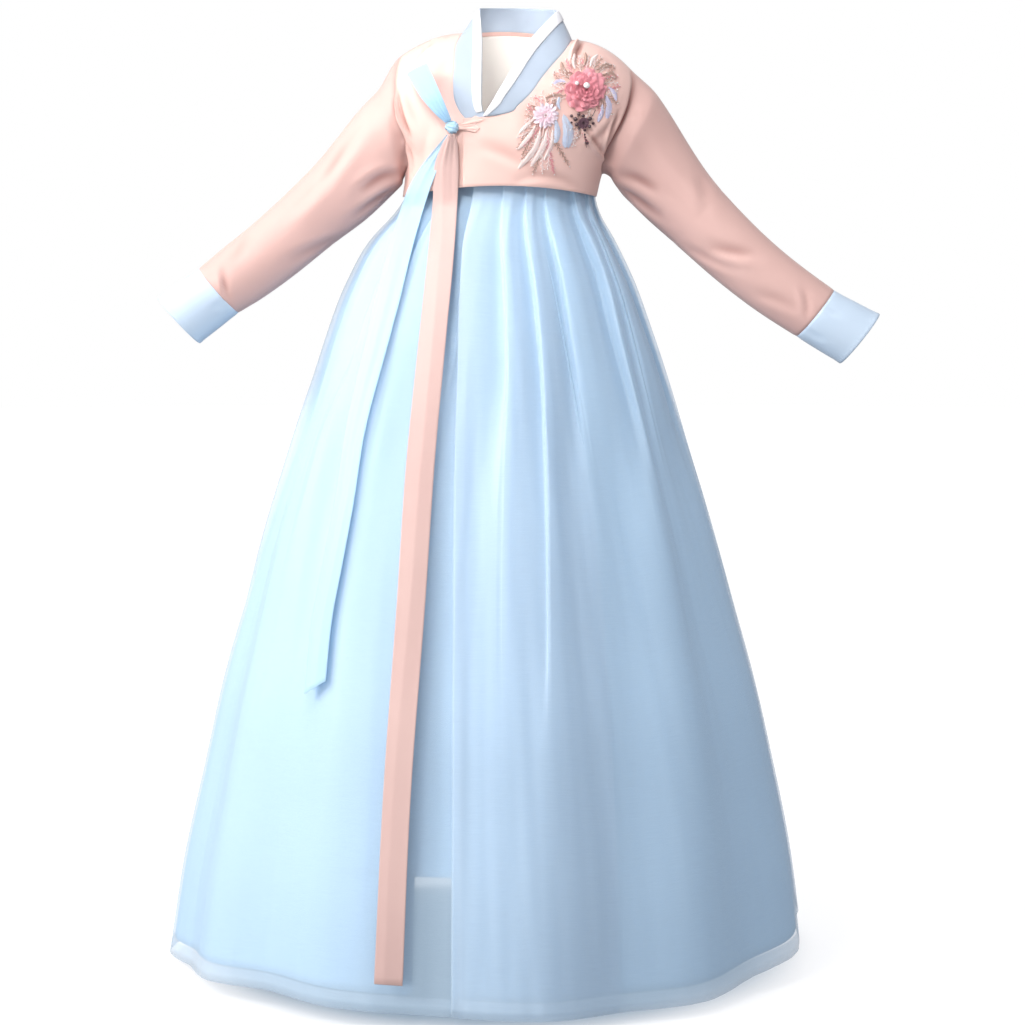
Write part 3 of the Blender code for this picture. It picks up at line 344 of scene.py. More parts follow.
def lift(x, z):
    """How far the outer front stands off the inner one: nothing at its side, armhole and shoulder."""
    share = ease((LIFT_START - x) / (LIFT_START - LIFT_END))
    return FRONT_LIFT * share * shoulder_turn(x, z, False)


def body_point(x, z, back=False, lifted=False):
    depth = torso_depth(x, z, back) + (lift(x, z) if lifted else 0)
    y = np.maximum(depth, 0) + SEAM / 2
    return np.stack([x + LEAN("middle", -z), y if back else -y, z], -1)


def edge_reach(fraction):
    """x of a panel's side: the side seam up to the armpit, then the armhole."""
    z = hem_height(SIDE_HALF) * (1 - fraction) + seam_height(SIDE_HALF) * fraction
    return np.where(fraction < ARMPIT, TORSO("half_width", -z), ARMHOLE("reach", fraction))


def row_heights(x, fraction, back):
    return hem_height(x) + (top_height(x, back) - hem_height(x)) * fraction


def body_grid(fractions, stops, counts, back=False, lifted=False):
    """Points of a panel. Each row runs through its stops, x values that depend on its fraction, with
    counts steps between them, spaced by angle so that the sides stay round."""
    rows = []
    for fraction in fractions:
        xs = [float(stop(fraction)) for stop in stops]
        widest = max(float(edge_reach(fraction)), *(abs(x) for x in xs))
        angles = [math.asin(max(-1, min(1, x / widest))) for x in xs]
        line = [angles[0]]
        for start, end, count in zip(angles, angles[1:], counts):
            line += list(np.linspace(start, end, count + 1)[1:])
        x = widest * np.sin(line)
        rows.append(body_point(x, row_heights(x, fraction, back), back, lifted))
    return np.array(rows)


def outer_front_edge(fraction):
    """x of the outer front's free edge and, above its top corner, of its collar seam."""
    if fraction <= TOP_EDGE:
        return FREE_EDGE - LEAN("middle", -row_heights(FREE_EDGE, fraction, False))
    return COLLAR_OVER("seam", fraction)


def inner_front_edge(fraction):
    """x of the inner front's hidden edge and, above it, of its collar seam."""
    if fraction < UNDER_END:
        return HIDDEN_EDGE("x", fraction)
    return COLLAR_UNDER("seam", fraction)


def beside_edge(fraction):
    """x of a line just inside the outer front's edge, past which its columns stay straight."""
    if fraction <= COLLAR_END:
        return 0.0
    return COLLAR_OVER("seam", fraction) + BESIDE


def quads(grid, flip=False):
    """The four corners of each cell of a grid, in order round it."""
    corners = [grid[:-1, :-1], grid[:-1, 1:], grid[1:, 1:], grid[1:, :-1]]
    return np.stack(corners[::-1] if flip else corners, axis=-1).reshape(-1, 4)


def run_lengths(points, axis):
    """How far each point of a grid lies along its column, with axis 0, or along its row, with 1."""
    lengths = np.cumsum(np.linalg.norm(np.diff(points, axis=axis), axis=-1), axis)
    return np.pad(lengths, ((0, 0), (1, 0)) if axis else ((1, 0), (0, 0)))


def wall(outer, inner, closed=False, deep=None):
    """Points, faces, UV places and painted shades of a wall between two grids of points [row][column],
    with rounded rims. With closed, its columns go all round. UVs are metres along the cloth, and a
    painted shade is how deep in a fold a point lies, which darkens its colour there."""
    rows, columns = outer.shape[:2]
    deep = np.zeros((rows, columns)) if deep is None else deep
    painted_shades = [deep.ravel(), deep.ravel()]

    def wrap(grid):
        return np.concatenate([grid, grid[:, :1]], axis=1) if closed else grid

    index = wrap(np.arange(rows * columns).reshape(rows, columns))
    u, v = run_lengths(wrap(outer), 1), run_lengths(wrap(outer), 0)
    flat = rows * columns
    faces = [quads(index), quads(index + flat, True)]
    places = [np.stack([quads(grid, flip) for grid in (u, v)], -1) for flip in (False, True)]

    if closed:
        rims = [[(0, j) for j in range(columns + 1)], [(rows - 1, j) for j in range(columns, -1, -1)]]
    else:
        ring = [(0, j) for j in range(columns)] + [(i, columns - 1) for i in range(1, rows)]
        ring += [(rows - 1, j) for j in range(columns - 2, -1, -1)]
        rims = [ring + [(i, 0) for i in range(rows - 2, -1, -1)]]
    middle = (outer + inner) / 2
    points = [outer.reshape(-1, 3), inner.reshape(-1, 3)]
    count = 2 * flat
    for ring in rims:
        i, j = np.array(ring).T
        near_i = np.clip(i, 1, rows - 2)
        near_j = j % columns if closed else np.clip(j, 1, columns - 2)
        at = middle[i, j % columns]
        past = unit(at - middle[near_i, near_j])
        half = np.linalg.norm(outer[i, j % columns] - inner[i, j % columns], axis=1) / 2
        points.append((at + past * half[:, None])[:-1])
        painted_shades.append(deep[i, j % columns][:-1])
        brim = count + np.append(np.arange(len(ring) - 1), 0)
        count += len(ring) - 1
        top, uv = index[i, j], np.stack([u[i, j], v[i, j]], -1)
        for a, b in ((brim, top), (top + flat, brim)):
            faces.append(np.stack([a[:-1], a[1:], b[1:], b[:-1]], -1))
            places.append(np.stack([uv[:-1], uv[1:], uv[1:], uv[:-1]], 1))
    return tuple(np.concatenate(each) for each in (points, faces, places, painted_shades))


def cloth(name, outer, inner, finish, closed=False, deep=None):
    *parts, painted_shades = wall(outer, inner, closed, deep)
    return add_mesh(name, *parts, finish, painted_shades=painted_shades)


def add_mesh(name, points, faces, places, finish, painted_shades=None):
    """A smooth mesh of quads with a UV place at each corner, its faces turned out."""
    a, b, c = (points[faces[:, i]] for i in range(3))
    if np.einsum("ij,ij->i", a, np.cross(b, c)).sum() < 0:
        faces, places = faces[:, ::-1], places[:, ::-1]
    mesh = bpy.data.meshes.new(name)
    mesh.from_pydata(points.tolist(), [], faces.tolist())
    layer = mesh.uv_layers.new(name="cloth")
    layer.data.foreach_set("uv", np.ascontiguousarray(places, np.float32).ravel())
    # The deep attribute holds the shade painted into folds and seams.
    if painted_shades is not None:
        depths = mesh.attributes.new("deep", "FLOAT", "POINT")
        depths.data.foreach_set("value", painted_shades.astype(np.float32))
    mesh.materials.append(finish)
    mesh.shade_smooth()
    mesh.validate()
    made = bpy.data.objects.new(name, mesh)
    scene.collection.objects.link(made)
    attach(made, "root")
    return made


def smooth_line(at, points, wanted):
    """A run of points, each at its own place, read smoothly at the wanted places."""
    runs = [Table("at value", np.stack([at, run], 1))("value", wanted) for run in points.T]
    return np.stack(runs, 1)


def crease(points, out, path, width, depth, ridge=0.5):
    """Sinks a soft trough into a grid along a path on it, with a low ridge beside it. The trough is
    deepest in the middle of the path. A negative depth turns trough and ridge over."""
    path = np.asarray(path, float)
    reach = np.concatenate([[0], np.cumsum(np.linalg.norm(np.diff(path, axis=0), axis=1))])
    at = np.linspace(0, reach[-1], 60)
    line = smooth_line(reach, path, at)
    ahead = unit(np.gradient(line, axis=0))
    gap = points[..., None, :] - line
    nearest = np.argmin((gap**2).sum(-1), axis=-1)
    offset = np.take_along_axis(gap, nearest[..., None, None], -2)[..., 0, :]
    across = np.einsum("...i,...i->...", offset, np.cross(ahead[nearest], out)) / width
    off_line = np.linalg.norm(offset, axis=-1) / width
    side = np.sign(across) * off_line
    fade = np.sin(math.pi * np.clip(at / reach[-1], 0.02, 0.98)) ** 0.7
    shape = np.exp(-(off_line**2)) - ridge * np.exp(-(((side - 1.5) / 0.8) ** 2))
    return points - out * (depth * fade[nearest] * shape)[..., None]


def fine_threads(start, pitch, across, along_way, slub):
    """Height of a fine weave: threads both ways of the cloth's own length, with slubs across."""
    place = start.node("ShaderNodeUVMap", {"uv_map": "cloth"})
    parts = start.node("ShaderNodeSeparateXYZ", {}, {0: place})
    u = Wire(start.tree, parts.socket.node.outputs["X"])
    v = Wire(start.tree, parts.socket.node.outputs["Y"])
    turn = 2 * math.pi / pitch
    height = start.sum("SINE", u * turn) * across + start.sum("SINE", v * turn) * along_way
    stretch = start.node("ShaderNodeCombineXYZ", {}, {"X": u * 30, "Y": v * 900})
    streak = start.node("ShaderNodeTexNoise", {}, {"Vector": stretch, "Scale": 1.0, "Detail": 2.0})
    return height + streak * slub


def drift(start, scale, detail=3.0):
    """A slow uneven tone over the object, from 0 to 1."""
    place = start.node("ShaderNodeTexCoord", output=3)
    return start.node("ShaderNodeTexNoise", {}, {"Vector": place, "Scale": scale, "Detail": detail})


def set_bump(start, shader, height, distance, strength):
    sockets = {"Height": height, "Distance": distance, "Strength": strength}
    plug(shader.inputs["Normal"], start.node("ShaderNodeBump", {}, sockets))


def satin(name, low, high, painted_shade_colour, sheen, roughness=0.42):
    """Silk satin: glossy along its fine warp, a little uneven in tone, slubbed across, and painted
    darker and fuller in colour where it lies deep in a fold or seam, as the shade there."""
    made, start, shader = new_finish(
        name, Sheen_Weight=sheen, Sheen_Roughness=0.35, Sheen_Tint=(1.0, 0.97, 0.95),
        Specular_IOR_Level=0.42, Anisotropic=0.35,
    )
    # Painted shade: the deep attribute darkens the colour in folds and seams.
    deep = start.node("ShaderNodeAttribute", {"attribute_name": "deep"}, output=2)
    tone = paint(start, low, high, drift(start, 9.0))
    plug(shader.inputs["Base Color"], paint(start, tone, painted_shade_colour, deep))
    plug(shader.inputs["Roughness"], drift(start, 45.0) * 0.10 + roughness)
    threads = fine_threads(start, 0.0007, 0.25, 0.45, slub=0.8)
    set_bump(start, shader, threads, 0.00012, 0.5)
    return made


PAINTED_SEAM_SHADE = (0.20, 0.018, 0.008)  # shade painted on the satin where it lies deep in a seam or fold
peach_satin = satin("peach satin", (0.84, 0.545, 0.485), (0.89, 0.60, 0.53), PAINTED_SEAM_SHADE, 0.22)
# How deep an armhole's tuck is and how wide, and how wide the shade painted along its seam is.
ARMHOLE_TUCK, ARMHOLE_TUCK_WIDTH, ARMHOLE_SHADE_WIDTH = 0.0034, 0.0032, 0.0048
SEAM_SHADE, OVER_SEAM_SHADE = 0.5, 1.0  # how dark the shade painted along an armhole's seam is, and along the outer front's
FOLD_SHADE, FULL_SHADE_DEPTH = 0.55, 0.0042  # how much shade a fold gets painted, and the depth from which it gets all of it
FLAT_EDGE = 0.02  # creases fade out over this depth towards the side and shoulder seams

ROWS = [*np.linspace(0, ARMPIT, 9), *np.linspace(ARMPIT, 1, 43)[1:]]
OVER_ROWS = [*np.linspace(0, ARMPIT, 9), *np.linspace(ARMPIT, TOP_EDGE, 25)[1:]]
OVER_ROWS += list(np.linspace(COLLAR_END, 1, 47))
SIDES = (lambda at: -edge_reach(at), lambda at: -NECK_HALF, lambda at: NECK_HALF, edge_reach)
NECK_START, NECK_END = 18, 44  # columns of the back beside the neck

back = body_grid(ROWS, SIDES, (18, 26, 18), back=True)
over = body_grid(OVER_ROWS, (outer_front_edge, beside_edge, edge_reach), (16, 84), lifted=True)
under = body_grid(ROWS, (lambda at: -edge_reach(at), inner_front_edge), (56,))

OVER_CREASES = (  # places (x, z), width, depth, ridge
    (((0.097, 0.004), (0.092, -0.010), (0.086, -0.024), (0.080, -0.048)), 0.0036, 0.0056, 1.0),
    (((0.096, -0.004), (0.086, -0.032), (0.074, -0.060)), 0.0090, 0.0016, 0.4),
    (((0.1500, -0.112), (0.1425, -0.132), (0.1350, -0.152), (0.1300, -0.174)), 0.0046, 0.0034, 0.8),
    (((0.151, -0.100), (0.139, -0.128), (0.119, -0.150), (0.104, -0.163)), 0.0075, 0.0026, 0.6),
    (((-0.010, -0.2175), (0.014, -0.2065), (0.050, -0.2060), (0.098, -0.2260)), 0.0075, 0.0024, 0.7),
    (((-0.062, -0.158), (-0.035, -0.166), (0.006, -0.184), (0.030, -0.200)), 0.0110, 0.0022, 0.6),
    (((0.010, -0.098), (0.020, -0.130), (0.022, -0.165)), 0.0150, 0.0020, 0.4),
    (((0.128, -0.030), (0.140, -0.052), (0.146, -0.078)), 0.0080, 0.0016, 0.6),
    (((0.084, -0.112), (0.103, -0.141), (0.120, -0.164), (0.131, -0.178)), 0.0040, 0.0034, 1.0),
)
UNDER_CREASES = (
    (((-0.090, 0.004), (-0.133, -0.0136), (-0.160, -0.046)), 0.0034, 0.0026, 1.0),
    (((-0.178, -0.080), (-0.1721, -0.1158), (-0.157, -0.149)), 0.0038, 0.0040, 1.0),
    (((-0.184, -0.066), (-0.1765, -0.098), (-0.1640, -0.138), (-0.152, -0.172)), 0.0052, 0.0034, 0.8),
    (((-0.170, -0.074), (-0.160, -0.106), (-0.146, -0.136)), 0.0085, 0.0020, 0.5),
    (((-0.172, -0.140), (-0.160, -0.168), (-0.158, -0.205)), 0.0046, 0.0032, 0.9),
    (((-0.116, -0.134), (-0.128, -0.183), (-0.137, -0.224)), 0.0095, -0.0022, 0.5),
    (((-0.105, -0.030), (-0.118, -0.062), (-0.121, -0.100)), 0.0130, 0.0018, 0.4),
)
BACK_CREASES = (  # the same kinds of fold where they can't be seen from the front
    (((0.166, -0.072), (0.158, -0.112), (0.136, -0.158)), 0.0080, 0.0032, 0.7),
    (((-0.168, -0.068), (-0.162, -0.105), (-0.141, -0.150)), 0.0085, 0.0034, 0.7),
    (((0.020, -0.060), (0.006, -0.112), (-0.014, -0.170)), 0.0150, 0.0022, 0.4),
    (((-0.075, -0.030), (-0.070, -0.085), (-0.082, -0.140)), 0.0130, 0.0020, 0.5),
    (((0.118, -0.040), (0.096, -0.088), (0.090, -0.140)), 0.0120, 0.0018, 0.5),
    (((-0.110, -0.206), (-0.060, -0.196), (-0.010, -0.205)), 0.0080, 0.0022, 0.6),
)


def creased(grid, creases, outward, back, lifted):
    out = normals(grid, outward)
    for places, width, depth, ridge in creases:
        x, z = np.array(places).T
        path = body_point(x - LEAN("middle", -z), z, back, lifted)
        grid = crease(grid, out, path, width, depth, ridge)
    return grid


def seam_strength(up):
    """How hard an armhole's seam draws the cloth in: fully near the armpit, less to the shoulder."""
    return np.clip(up / 0.05, 0, 1) ** 0.5 * np.clip((1 - up) / 0.45, 0, 1) ** 0.7


def armhole_tuck(grid, out, fractions, side):
    """Sinks a panel's edge along its armhole, and tells how near the seam line is, as the shade to
    paint there.
    """
    up = np.clip((np.array(fractions) - ARMPIT) / (1 - ARMPIT), 0, 1)
    toward = grid if side == 0 else grid[:, ::-1]
    reach = run_lengths(toward, 1)
    reach = reach if side == 0 else reach[:, ::-1]
    strong = seam_strength(up)[:, None]
    depth = ARMHOLE_TUCK * strong * np.exp(-((reach / ARMHOLE_TUCK_WIDTH) ** 2))
    return grid - out * depth[..., None], strong * np.exp(-((reach / ARMHOLE_SHADE_WIDTH) ** 2))


def panel(name, node, grid, outward, creases, rows, back=False, lifted=False):
    """A jacket panel with its creases, and its inner face, cut square at the shoulder and side."""
    out = normals(grid, outward)
    out[np.abs(grid[..., 1]) < SEAM, 1] = 0
    out = unit(out)
    keep = np.clip(np.abs(grid[..., 1]) / FLAT_EDGE, 0, 1)[..., None]
    flat = grid
    grid = grid + (creased(grid, creases, outward, back, lifted) - grid) * keep
    # Shade painted into the creases and along the armhole seams.
    deep = FOLD_SHADE * np.clip(((flat - grid) * out).sum(-1) / FULL_SHADE_DEPTH, 0, 1) ** 1.5
    for side in (-1, 0) if back else ((-1,) if lifted else (0,)):
        grid, line = armhole_tuck(grid, out, rows, side)
        deep = np.maximum(deep, line * (OVER_SEAM_SHADE if lifted else SEAM_SHADE))
    inner = grid - WALL * out
    made = cloth(name, grid, inner, peach_satin, deep=deep)
    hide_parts(node)
    return made, (grid, inner)


back_panel, back_walls = panel(
    "jacket_back", "jeogori_back", back, (0, 1, 0), BACK_CREASES, ROWS, back=True
)
over_panel, over_walls = panel(
    "outer_front", "jeogori_front_outer", over, (0, -1, 0), OVER_CREASES, OVER_ROWS, lifted=True
)
under_panel, under_walls = panel(
    "inner_front", "jeogori_front_inner", under, (0, -1, 0), UNDER_CREASES, ROWS
)

# Jacket back lining ---------------------------------------------------------------------------
# The pale plain silk that shows through the neck hole: one width of cloth laid inside the back and
# caught down along the neck seam.

LINING_WALL = 0.0010
LINED_FROM, LINED_TO = 0.365, 0.9999  # fractions of the back between which it is lined


def plain_weave(name, low, high, patches, roughness, threads, relief, **sockets):
    """A plain-woven cloth, uneven in tone and roughness over patches of two scales."""
    made, start, shader = new_finish(name, **sockets)
    plug(shader.inputs["Base Color"], paint(start, low, high, drift(start, patches[0])))
    plug(shader.inputs["Roughness"], drift(start, patches[1]) * 0.1 + roughness)
    pitch, slub = threads
    set_bump(start, shader, fine_threads(start, pitch, 0.4, 0.4, slub), relief, 0.4)
    return made


ivory_cloth = plain_weave(
    "ivory lining", (0.88, 0.84, 0.78), (0.92, 0.89, 0.84), (14.0, 60.0), 0.5, (0.0006, 0.3), 0.0001,
    Sheen_Weight=0.25, Sheen_Roughness=0.4, Specular_IOR_Level=0.35,
)

lining_rows = slice(*(int(np.argmin(np.abs(np.array(ROWS) - at))) for at in (LINED_FROM, LINED_TO)))
inside = back_walls[1][lining_rows, NECK_START : NECK_END + 1]
out = normals(inside, (0, 1, 0))
face = inside - SEAM * out
back_lining = cloth("neck_lining", face, face - LINING_WALL * out, ivory_cloth)
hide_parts("jeogori_back_lining")

# Sleeves --------------------------------------------------------------------------------------
# Each is one tube of the same satin, joined in its length by a plain seam on the upper arm, set into
# the straight armhole and hung from it: full under the arm, with soft folds where it bends.

SLEEVE_COLUMNS = "place middle_x middle_y middle_z half_width half_depth tilt"
SLEEVE_LEFT = Table(
    SLEEVE_COLUMNS,
    (
        (-0.5, 0.1748, -0.0030, -0.1475, 0.0698, 0.0610, 60.0),
        (0, 0.1896, -0.0050, -0.1703, 0.0655, 0.0540, 50.0),
        (1, 0.2284, -0.0120, -0.2222, 0.0580, 0.0490, 43.5),
        (2, 0.2675, -0.0220, -0.2643, 0.0525, 0.0455, 46.5),
        (3, 0.3242, -0.0360, -0.3190, 0.0490, 0.0425, 51.5),
        (4, 0.3786, -0.0470, -0.3640, 0.0465, 0.0405, 55.0),
        (5, 0.4403, -0.0580, -0.4069, 0.0442, 0.0385, 51.5),
        (6, 0.4730, -0.0625, -0.4262, 0.0452, 0.0385, 51.7),
        (7, 0.5058, -0.0660, -0.4444, 0.0463, 0.0385, 51.8),
    ),
)
SLEEVE_RIGHT = Table(
    SLEEVE_COLUMNS,
    (
        (-0.5, -0.1928, -0.0030, -0.1475, 0.0670, 0.0610, 108.5),
        (0, -0.2110, -0.0050, -0.1695, 0.0620, 0.0540, 125.0),
        (1, -0.2608, -0.0120, -0.2245, 0.0560, 0.0490, 131.0),
        (2, -0.3111, -0.0220, -0.2690, 0.0510, 0.0455, 133.5),
        (3, -0.3640, -0.0360, -0.3145, 0.0487, 0.0425, 131.5),
        (4, -0.4071, -0.0470, -0.3475, 0.0470, 0.0405, 128.5),
        (5, -0.4427, -0.0580, -0.3736, 0.0440, 0.0385, 131.5),
        (6, -0.4721, -0.0625, -0.3953, 0.0450, 0.0385, 132.0),
        (7, -0.5015, -0.0660, -0.4170, 0.0458, 0.0385, 132.1),
    ),
)
CUFF_PLACE, CUFF_UNIT = 5, 0.033  # a cuff is 33 mm long for each unit of place


def edge_leave(outer, inner, near, closed=False):
    """Unit directions that leave a panel square to its edge face; near is the line beside the edge."""
    leave = unit(np.cross(along(outer, 0, closed), inner - outer))
    leave[np.einsum("ij,ij->i", leave, outer - near) < 0] *= -1
    return leave


def sleeve_ring(table, place, around):
    """Points of one oval section of a sleeve; around is 0 on top, a quarter turn at the front."""
    tilt = math.radians(float(table("tilt", place)))
    middle = np.array([float(table(f"middle_{axis}", place)) for axis in "xyz"])
    half_width = float(table("half_width", place))
    half_depth = float(table("half_depth", place))
    up = np.array([math.cos(tilt), 0, math.sin(tilt)])
    forward = np.array([0, -1.0, 0])
    return (
        middle
        + half_width * np.cos(around)[:, None] * up
        + half_depth * np.sin(around)[:, None] * forward
    )


def loop_angles(loop, pit):
    """An even half turn down the front of the loop to the armpit and another up its back, by length."""
    steps = np.linalg.norm(np.roll(loop, -1, 0) - loop, axis=1)
    front = np.concatenate([[0], np.cumsum(steps[:pit])])
    back = np.concatenate([[0], np.cumsum(steps[pit:])])
    return np.concatenate(
        [math.pi * front[:-1] / front[-1], math.pi * (1 + back[:-1] / back[-1])]
    )


def armhole_loop(front, rear, side):
    """The armhole's edge, from the shoulder down the front and up the back: its outer points, for
    each the direction that leaves the panels, and which point is at the armpit."""
    column, beside = (-1, -2) if side > 0 else (0, 1)
    pit = int(np.argmin(np.abs(np.array(ROWS) - ARMPIT)))
    rings = []
    for outer, inner in (front, rear):
        rings.append((outer[pit:, column], inner[pit:, column], outer[pit:, beside]))

    def join(fronts, backs):
        return np.array(
            [(fronts[-1] + backs[-1]) / 2, *fronts[-2:0:-1], (fronts[0] + backs[0]) / 2, *backs[1:-1]]
        )

    outer, inner, near = (join(*pair) for pair in zip(*rings))
    return outer, edge_leave(outer, inner, near, closed=True), len(rings[0][0]) - 1


# The sleeves' satin is the jacket's, painted a little deeper in colour as the shade on the sleeves.
shaded_sleeve_satin = satin("shaded sleeve satin", (0.68, 0.425, 0.385), (0.73, 0.475, 0.425), PAINTED_SEAM_SHADE, 0.22)
SLEEVE_PLACES = np.linspace(-0.5, CUFF_PLACE, 78)
SLEEVE_SEAM = 2.0  # place of the seam in the sleeve's length
SEAM_TUCK, TUCK_WIDTH = 0.0007, 0.0035
PRESSED_TUCK, PRESSED_WIDTH = 0.0003, 0.0022  # at the seam in the sleeve's length
SLEEVE_HEAD_TUCK = 0.00308
# How dark the shade painted along each sleeve head's seam is.
HEAD_SEAM_SHADE = {"left": 0.95, "right": SEAM_SHADE}
HEAD_ROWS = 11  # from the armhole to the first oval section
SLEEVE_CREASES = {  # (place, degrees round from the top) points, width, depth, ridge
    "right": (
        (((-0.4, 62), (0.4, 70), (1.2, 76), (2.3, 82)), 0.0130, -0.0030, 0.5),
        (((-0.45, 150), (0.1, 128), (0.8, 112)), 0.0100, 0.0040, 0.6),
        (((-0.30, 170), (0.5, 150), (1.3, 138)), 0.0090, 0.0034, 0.6),
        (((0.3, 40), (0.9, 58), (1.3, 80)), 0.0110, 0.0016, 0.6),
        (((1.7, 165), (2.3, 140), (2.9, 122)), 0.0100, 0.0024, 0.5),
        (((3.2, 30), (3.6, 50), (4.1, 62)), 0.0100, 0.0018, 0.5),
        (((4.30, 55), (4.52, 80), (4.78, 104)), 0.0055, 0.0018, 0.8),
        (((4.50, 70), (4.70, 96), (4.90, 120)), 0.0048, 0.0016, 0.8),
        (((0.2, 230), (0.9, 250), (1.8, 262)), 0.0120, 0.0030, 0.5),
        (((-0.3, 205), (0.3, 216), (1.0, 236)), 0.0090, 0.0036, 0.6),
        (((2.1, 292), (2.8, 270), (3.5, 262)), 0.0110, 0.0022, 0.5),
        (((4.2, 240), (4.6, 262), (4.85, 290)), 0.0060, 0.0018, 0.7),
    ),
    "left": (
        (((-0.4, 70), (0.5, 76), (1.5, 70), (2.4, 62)), 0.0140, -0.0022, 0.4),
        (((-0.40, 148), (0.2, 126), (0.9, 108)), 0.0100, 0.0036, 0.6),
        (((-0.20, 172), (0.6, 150), (1.5, 134)), 0.0095, 0.0034, 0.6),
        (((2.45, 118), (2.9, 92), (3.35, 66)), 0.0100, 0.0030, 0.6),
        (((2.2, 150), (2.7, 130), (3.2, 112)), 0.0085, 0.0022, 0.6),
        (((1.2, 38), (1.7, 56), (2.1, 80)), 0.0110, 0.0016, 0.5),
        (((3.7, 128), (4.2, 110), (4.7, 100)), 0.0100, 0.0018, 0.5),
        (((4.45, 60), (4.66, 84), (4.88, 110)), 0.0055, 0.0015, 0.8),
        (((0.1, 226), (0.8, 248), (1.7, 258)), 0.0120, 0.0032, 0.5),
        (((1.9, 250), (2.6, 272), (3.4, 290)), 0.0110, 0.0026, 0.5),
        (((3.0, 216), (3.6, 238), (4.1, 262)), 0.0090, 0.0020, 0.6),
        (((4.3, 300), (4.6, 276), (4.88, 250)), 0.0060, 0.0016, 0.7),
    ),
}


def tuck(grid, out, rows_in, depth=SEAM_TUCK, width=TUCK_WIDTH):
    """Sinks a tube's wall next to a seam; rows_in is each row's length from it."""
    return grid - out * (depth * np.exp(-((rows_in / width) ** 2)))[:, None, None]


def build_sleeve(side_name, table, loop):
    edge, leave, pit = loop
    around = loop_angles(edge, pit)
    start = edge + SEAM * leave
    rings = np.array([sleeve_ring(table, place, around) for place in SLEEVE_PLACES])
    chord = np.linalg.norm(rings[0] - start, axis=1, keepdims=True)
    onward = unit(rings[1] - rings[0]) * chord
    grid = []
    for t in np.linspace(0, 1, HEAD_ROWS + 1)[:-1]:
        point = start * (1 + 2 * t) * (1 - t) ** 2 + rings[0] * (3 - 2 * t) * t * t
        grid.append(point + leave * chord * t * (1 - t) ** 2 - onward * (1 - t) * t * t)
    grid = flat = np.concatenate([grid, rings])
    away = grid - grid.mean(axis=1, keepdims=True)
    out = normals(grid, away, closed=True)
    for path, width, depth, ridge in SLEEVE_CREASES[side_name]:
        line = [sleeve_ring(table, place, np.radians([turn]))[0] for place, turn in path]
        grid = crease(grid, out, line, width, depth, ridge)
    reach = np.cumsum(np.linalg.norm(np.diff(grid, axis=0), axis=-1).mean(axis=1))
    reach = np.append(0, reach)
    seam = np.interp(SLEEVE_SEAM, SLEEVE_PLACES, reach[-len(SLEEVE_PLACES) :])
    # Shade painted into the sleeve's folds and along its seam at the armhole.
    deep = FOLD_SHADE * np.clip(((flat - grid) * out).sum(-1) / FULL_SHADE_DEPTH, 0, 1) ** 1.5
    strong = seam_strength(np.abs(around / math.pi - 1))[None]
    seam_line = strong * np.exp(-((reach / ARMHOLE_SHADE_WIDTH) ** 2))[:, None]
    deep = np.maximum(deep, HEAD_SEAM_SHADE[side_name] * seam_line)
    near = reach[:, None] / ARMHOLE_TUCK_WIDTH
    head = SLEEVE_HEAD_TUCK * strong * near * np.exp(-(near**2))
    grid = grid - out * head[..., None]
    grid = tuck(grid, out, reach - seam, PRESSED_TUCK, PRESSED_WIDTH)
    grid = tuck(grid, out, reach[-1] - reach)
    inner = grid - WALL * normals(grid, away, closed=True)
    made = cloth(f"sleeve_{side_name}", grid, inner, shaded_sleeve_satin, closed=True, deep=deep)
    lengths = [f"{length}_{half}" for length in ("upper", "lower") for half in ("front", "back")]
    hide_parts(*(f"sleeve_{side_name}_{part}" for part in lengths))
    return around


around_left = build_sleeve("left", SLEEVE_LEFT, armhole_loop(over_walls, back_walls, 1))
around_right = build_sleeve("right", SLEEVE_RIGHT, armhole_loop(under_walls, back_walls, -1))

# Cuffs ----------------------------------------------------------------------------------------
# A band of pale blue satin sewn to each sleeve's end, faced with itself: its free edge is turned in,
# so the rim is rounded and a little full.

CUFF_ROWS = 26
RIM_FULL, RIM_WIDTH = 0.0006, 0.006
PUCKER_WIDTH = 0.006

# Shade painted on the blue satins where they lie deep in a fold.
PAINTED_FOLD_SHADE_BLUE = (0.30, 0.42, 0.60)
blue_satin = satin(
    "pale blue satin", (0.56, 0.685, 0.83), (0.62, 0.735, 0.865), PAINTED_FOLD_SHADE_BLUE, 0.30, 0.40
)
CUFF_PUCKERS = {  # degrees round from the top, length as a place, depth
    "left": ((70, 0.7, 0.0008), (128, 0.9, 0.0011), (262, 0.8, 0.0010)),
    "right": ((58, 0.8, 0.0010), (112, 0.6, 0.0009), (240, 0.8, 0.0010)),
}


def build_cuff(side_name, table, around):
    places = np.linspace(CUFF_PLACE + SEAM / CUFF_UNIT, CUFF_PLACE + 2, CUFF_ROWS)
    grid = np.array([sleeve_ring(table, place, around) for place in places])
    away = grid - grid.mean(axis=1, keepdims=True)
    out = normals(grid, away, closed=True)
    reach = (places - places[0]) * CUFF_UNIT
    grid = tuck(grid, out, reach)
    grid = grid + out * (RIM_FULL * np.exp(-(((reach[-1] - reach) / RIM_WIDTH) ** 2)))[:, None, None]
    for turn, length, depth in CUFF_PUCKERS[side_name]:
        line = [
            sleeve_ring(table, at, np.radians([turn + bend]))[0]
            for at, bend in ((CUFF_PLACE, 0), (CUFF_PLACE + length / 2, 3), (CUFF_PLACE + length, -2))
        ]
        grid = crease(grid, out, line, PUCKER_WIDTH, depth)
    inner = grid - WALL * normals(grid, away, closed=True)
    made = cloth(f"{side_name}_cuff", grid, inner, blue_satin, closed=True)
    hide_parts(f"cuff_{side_name}")


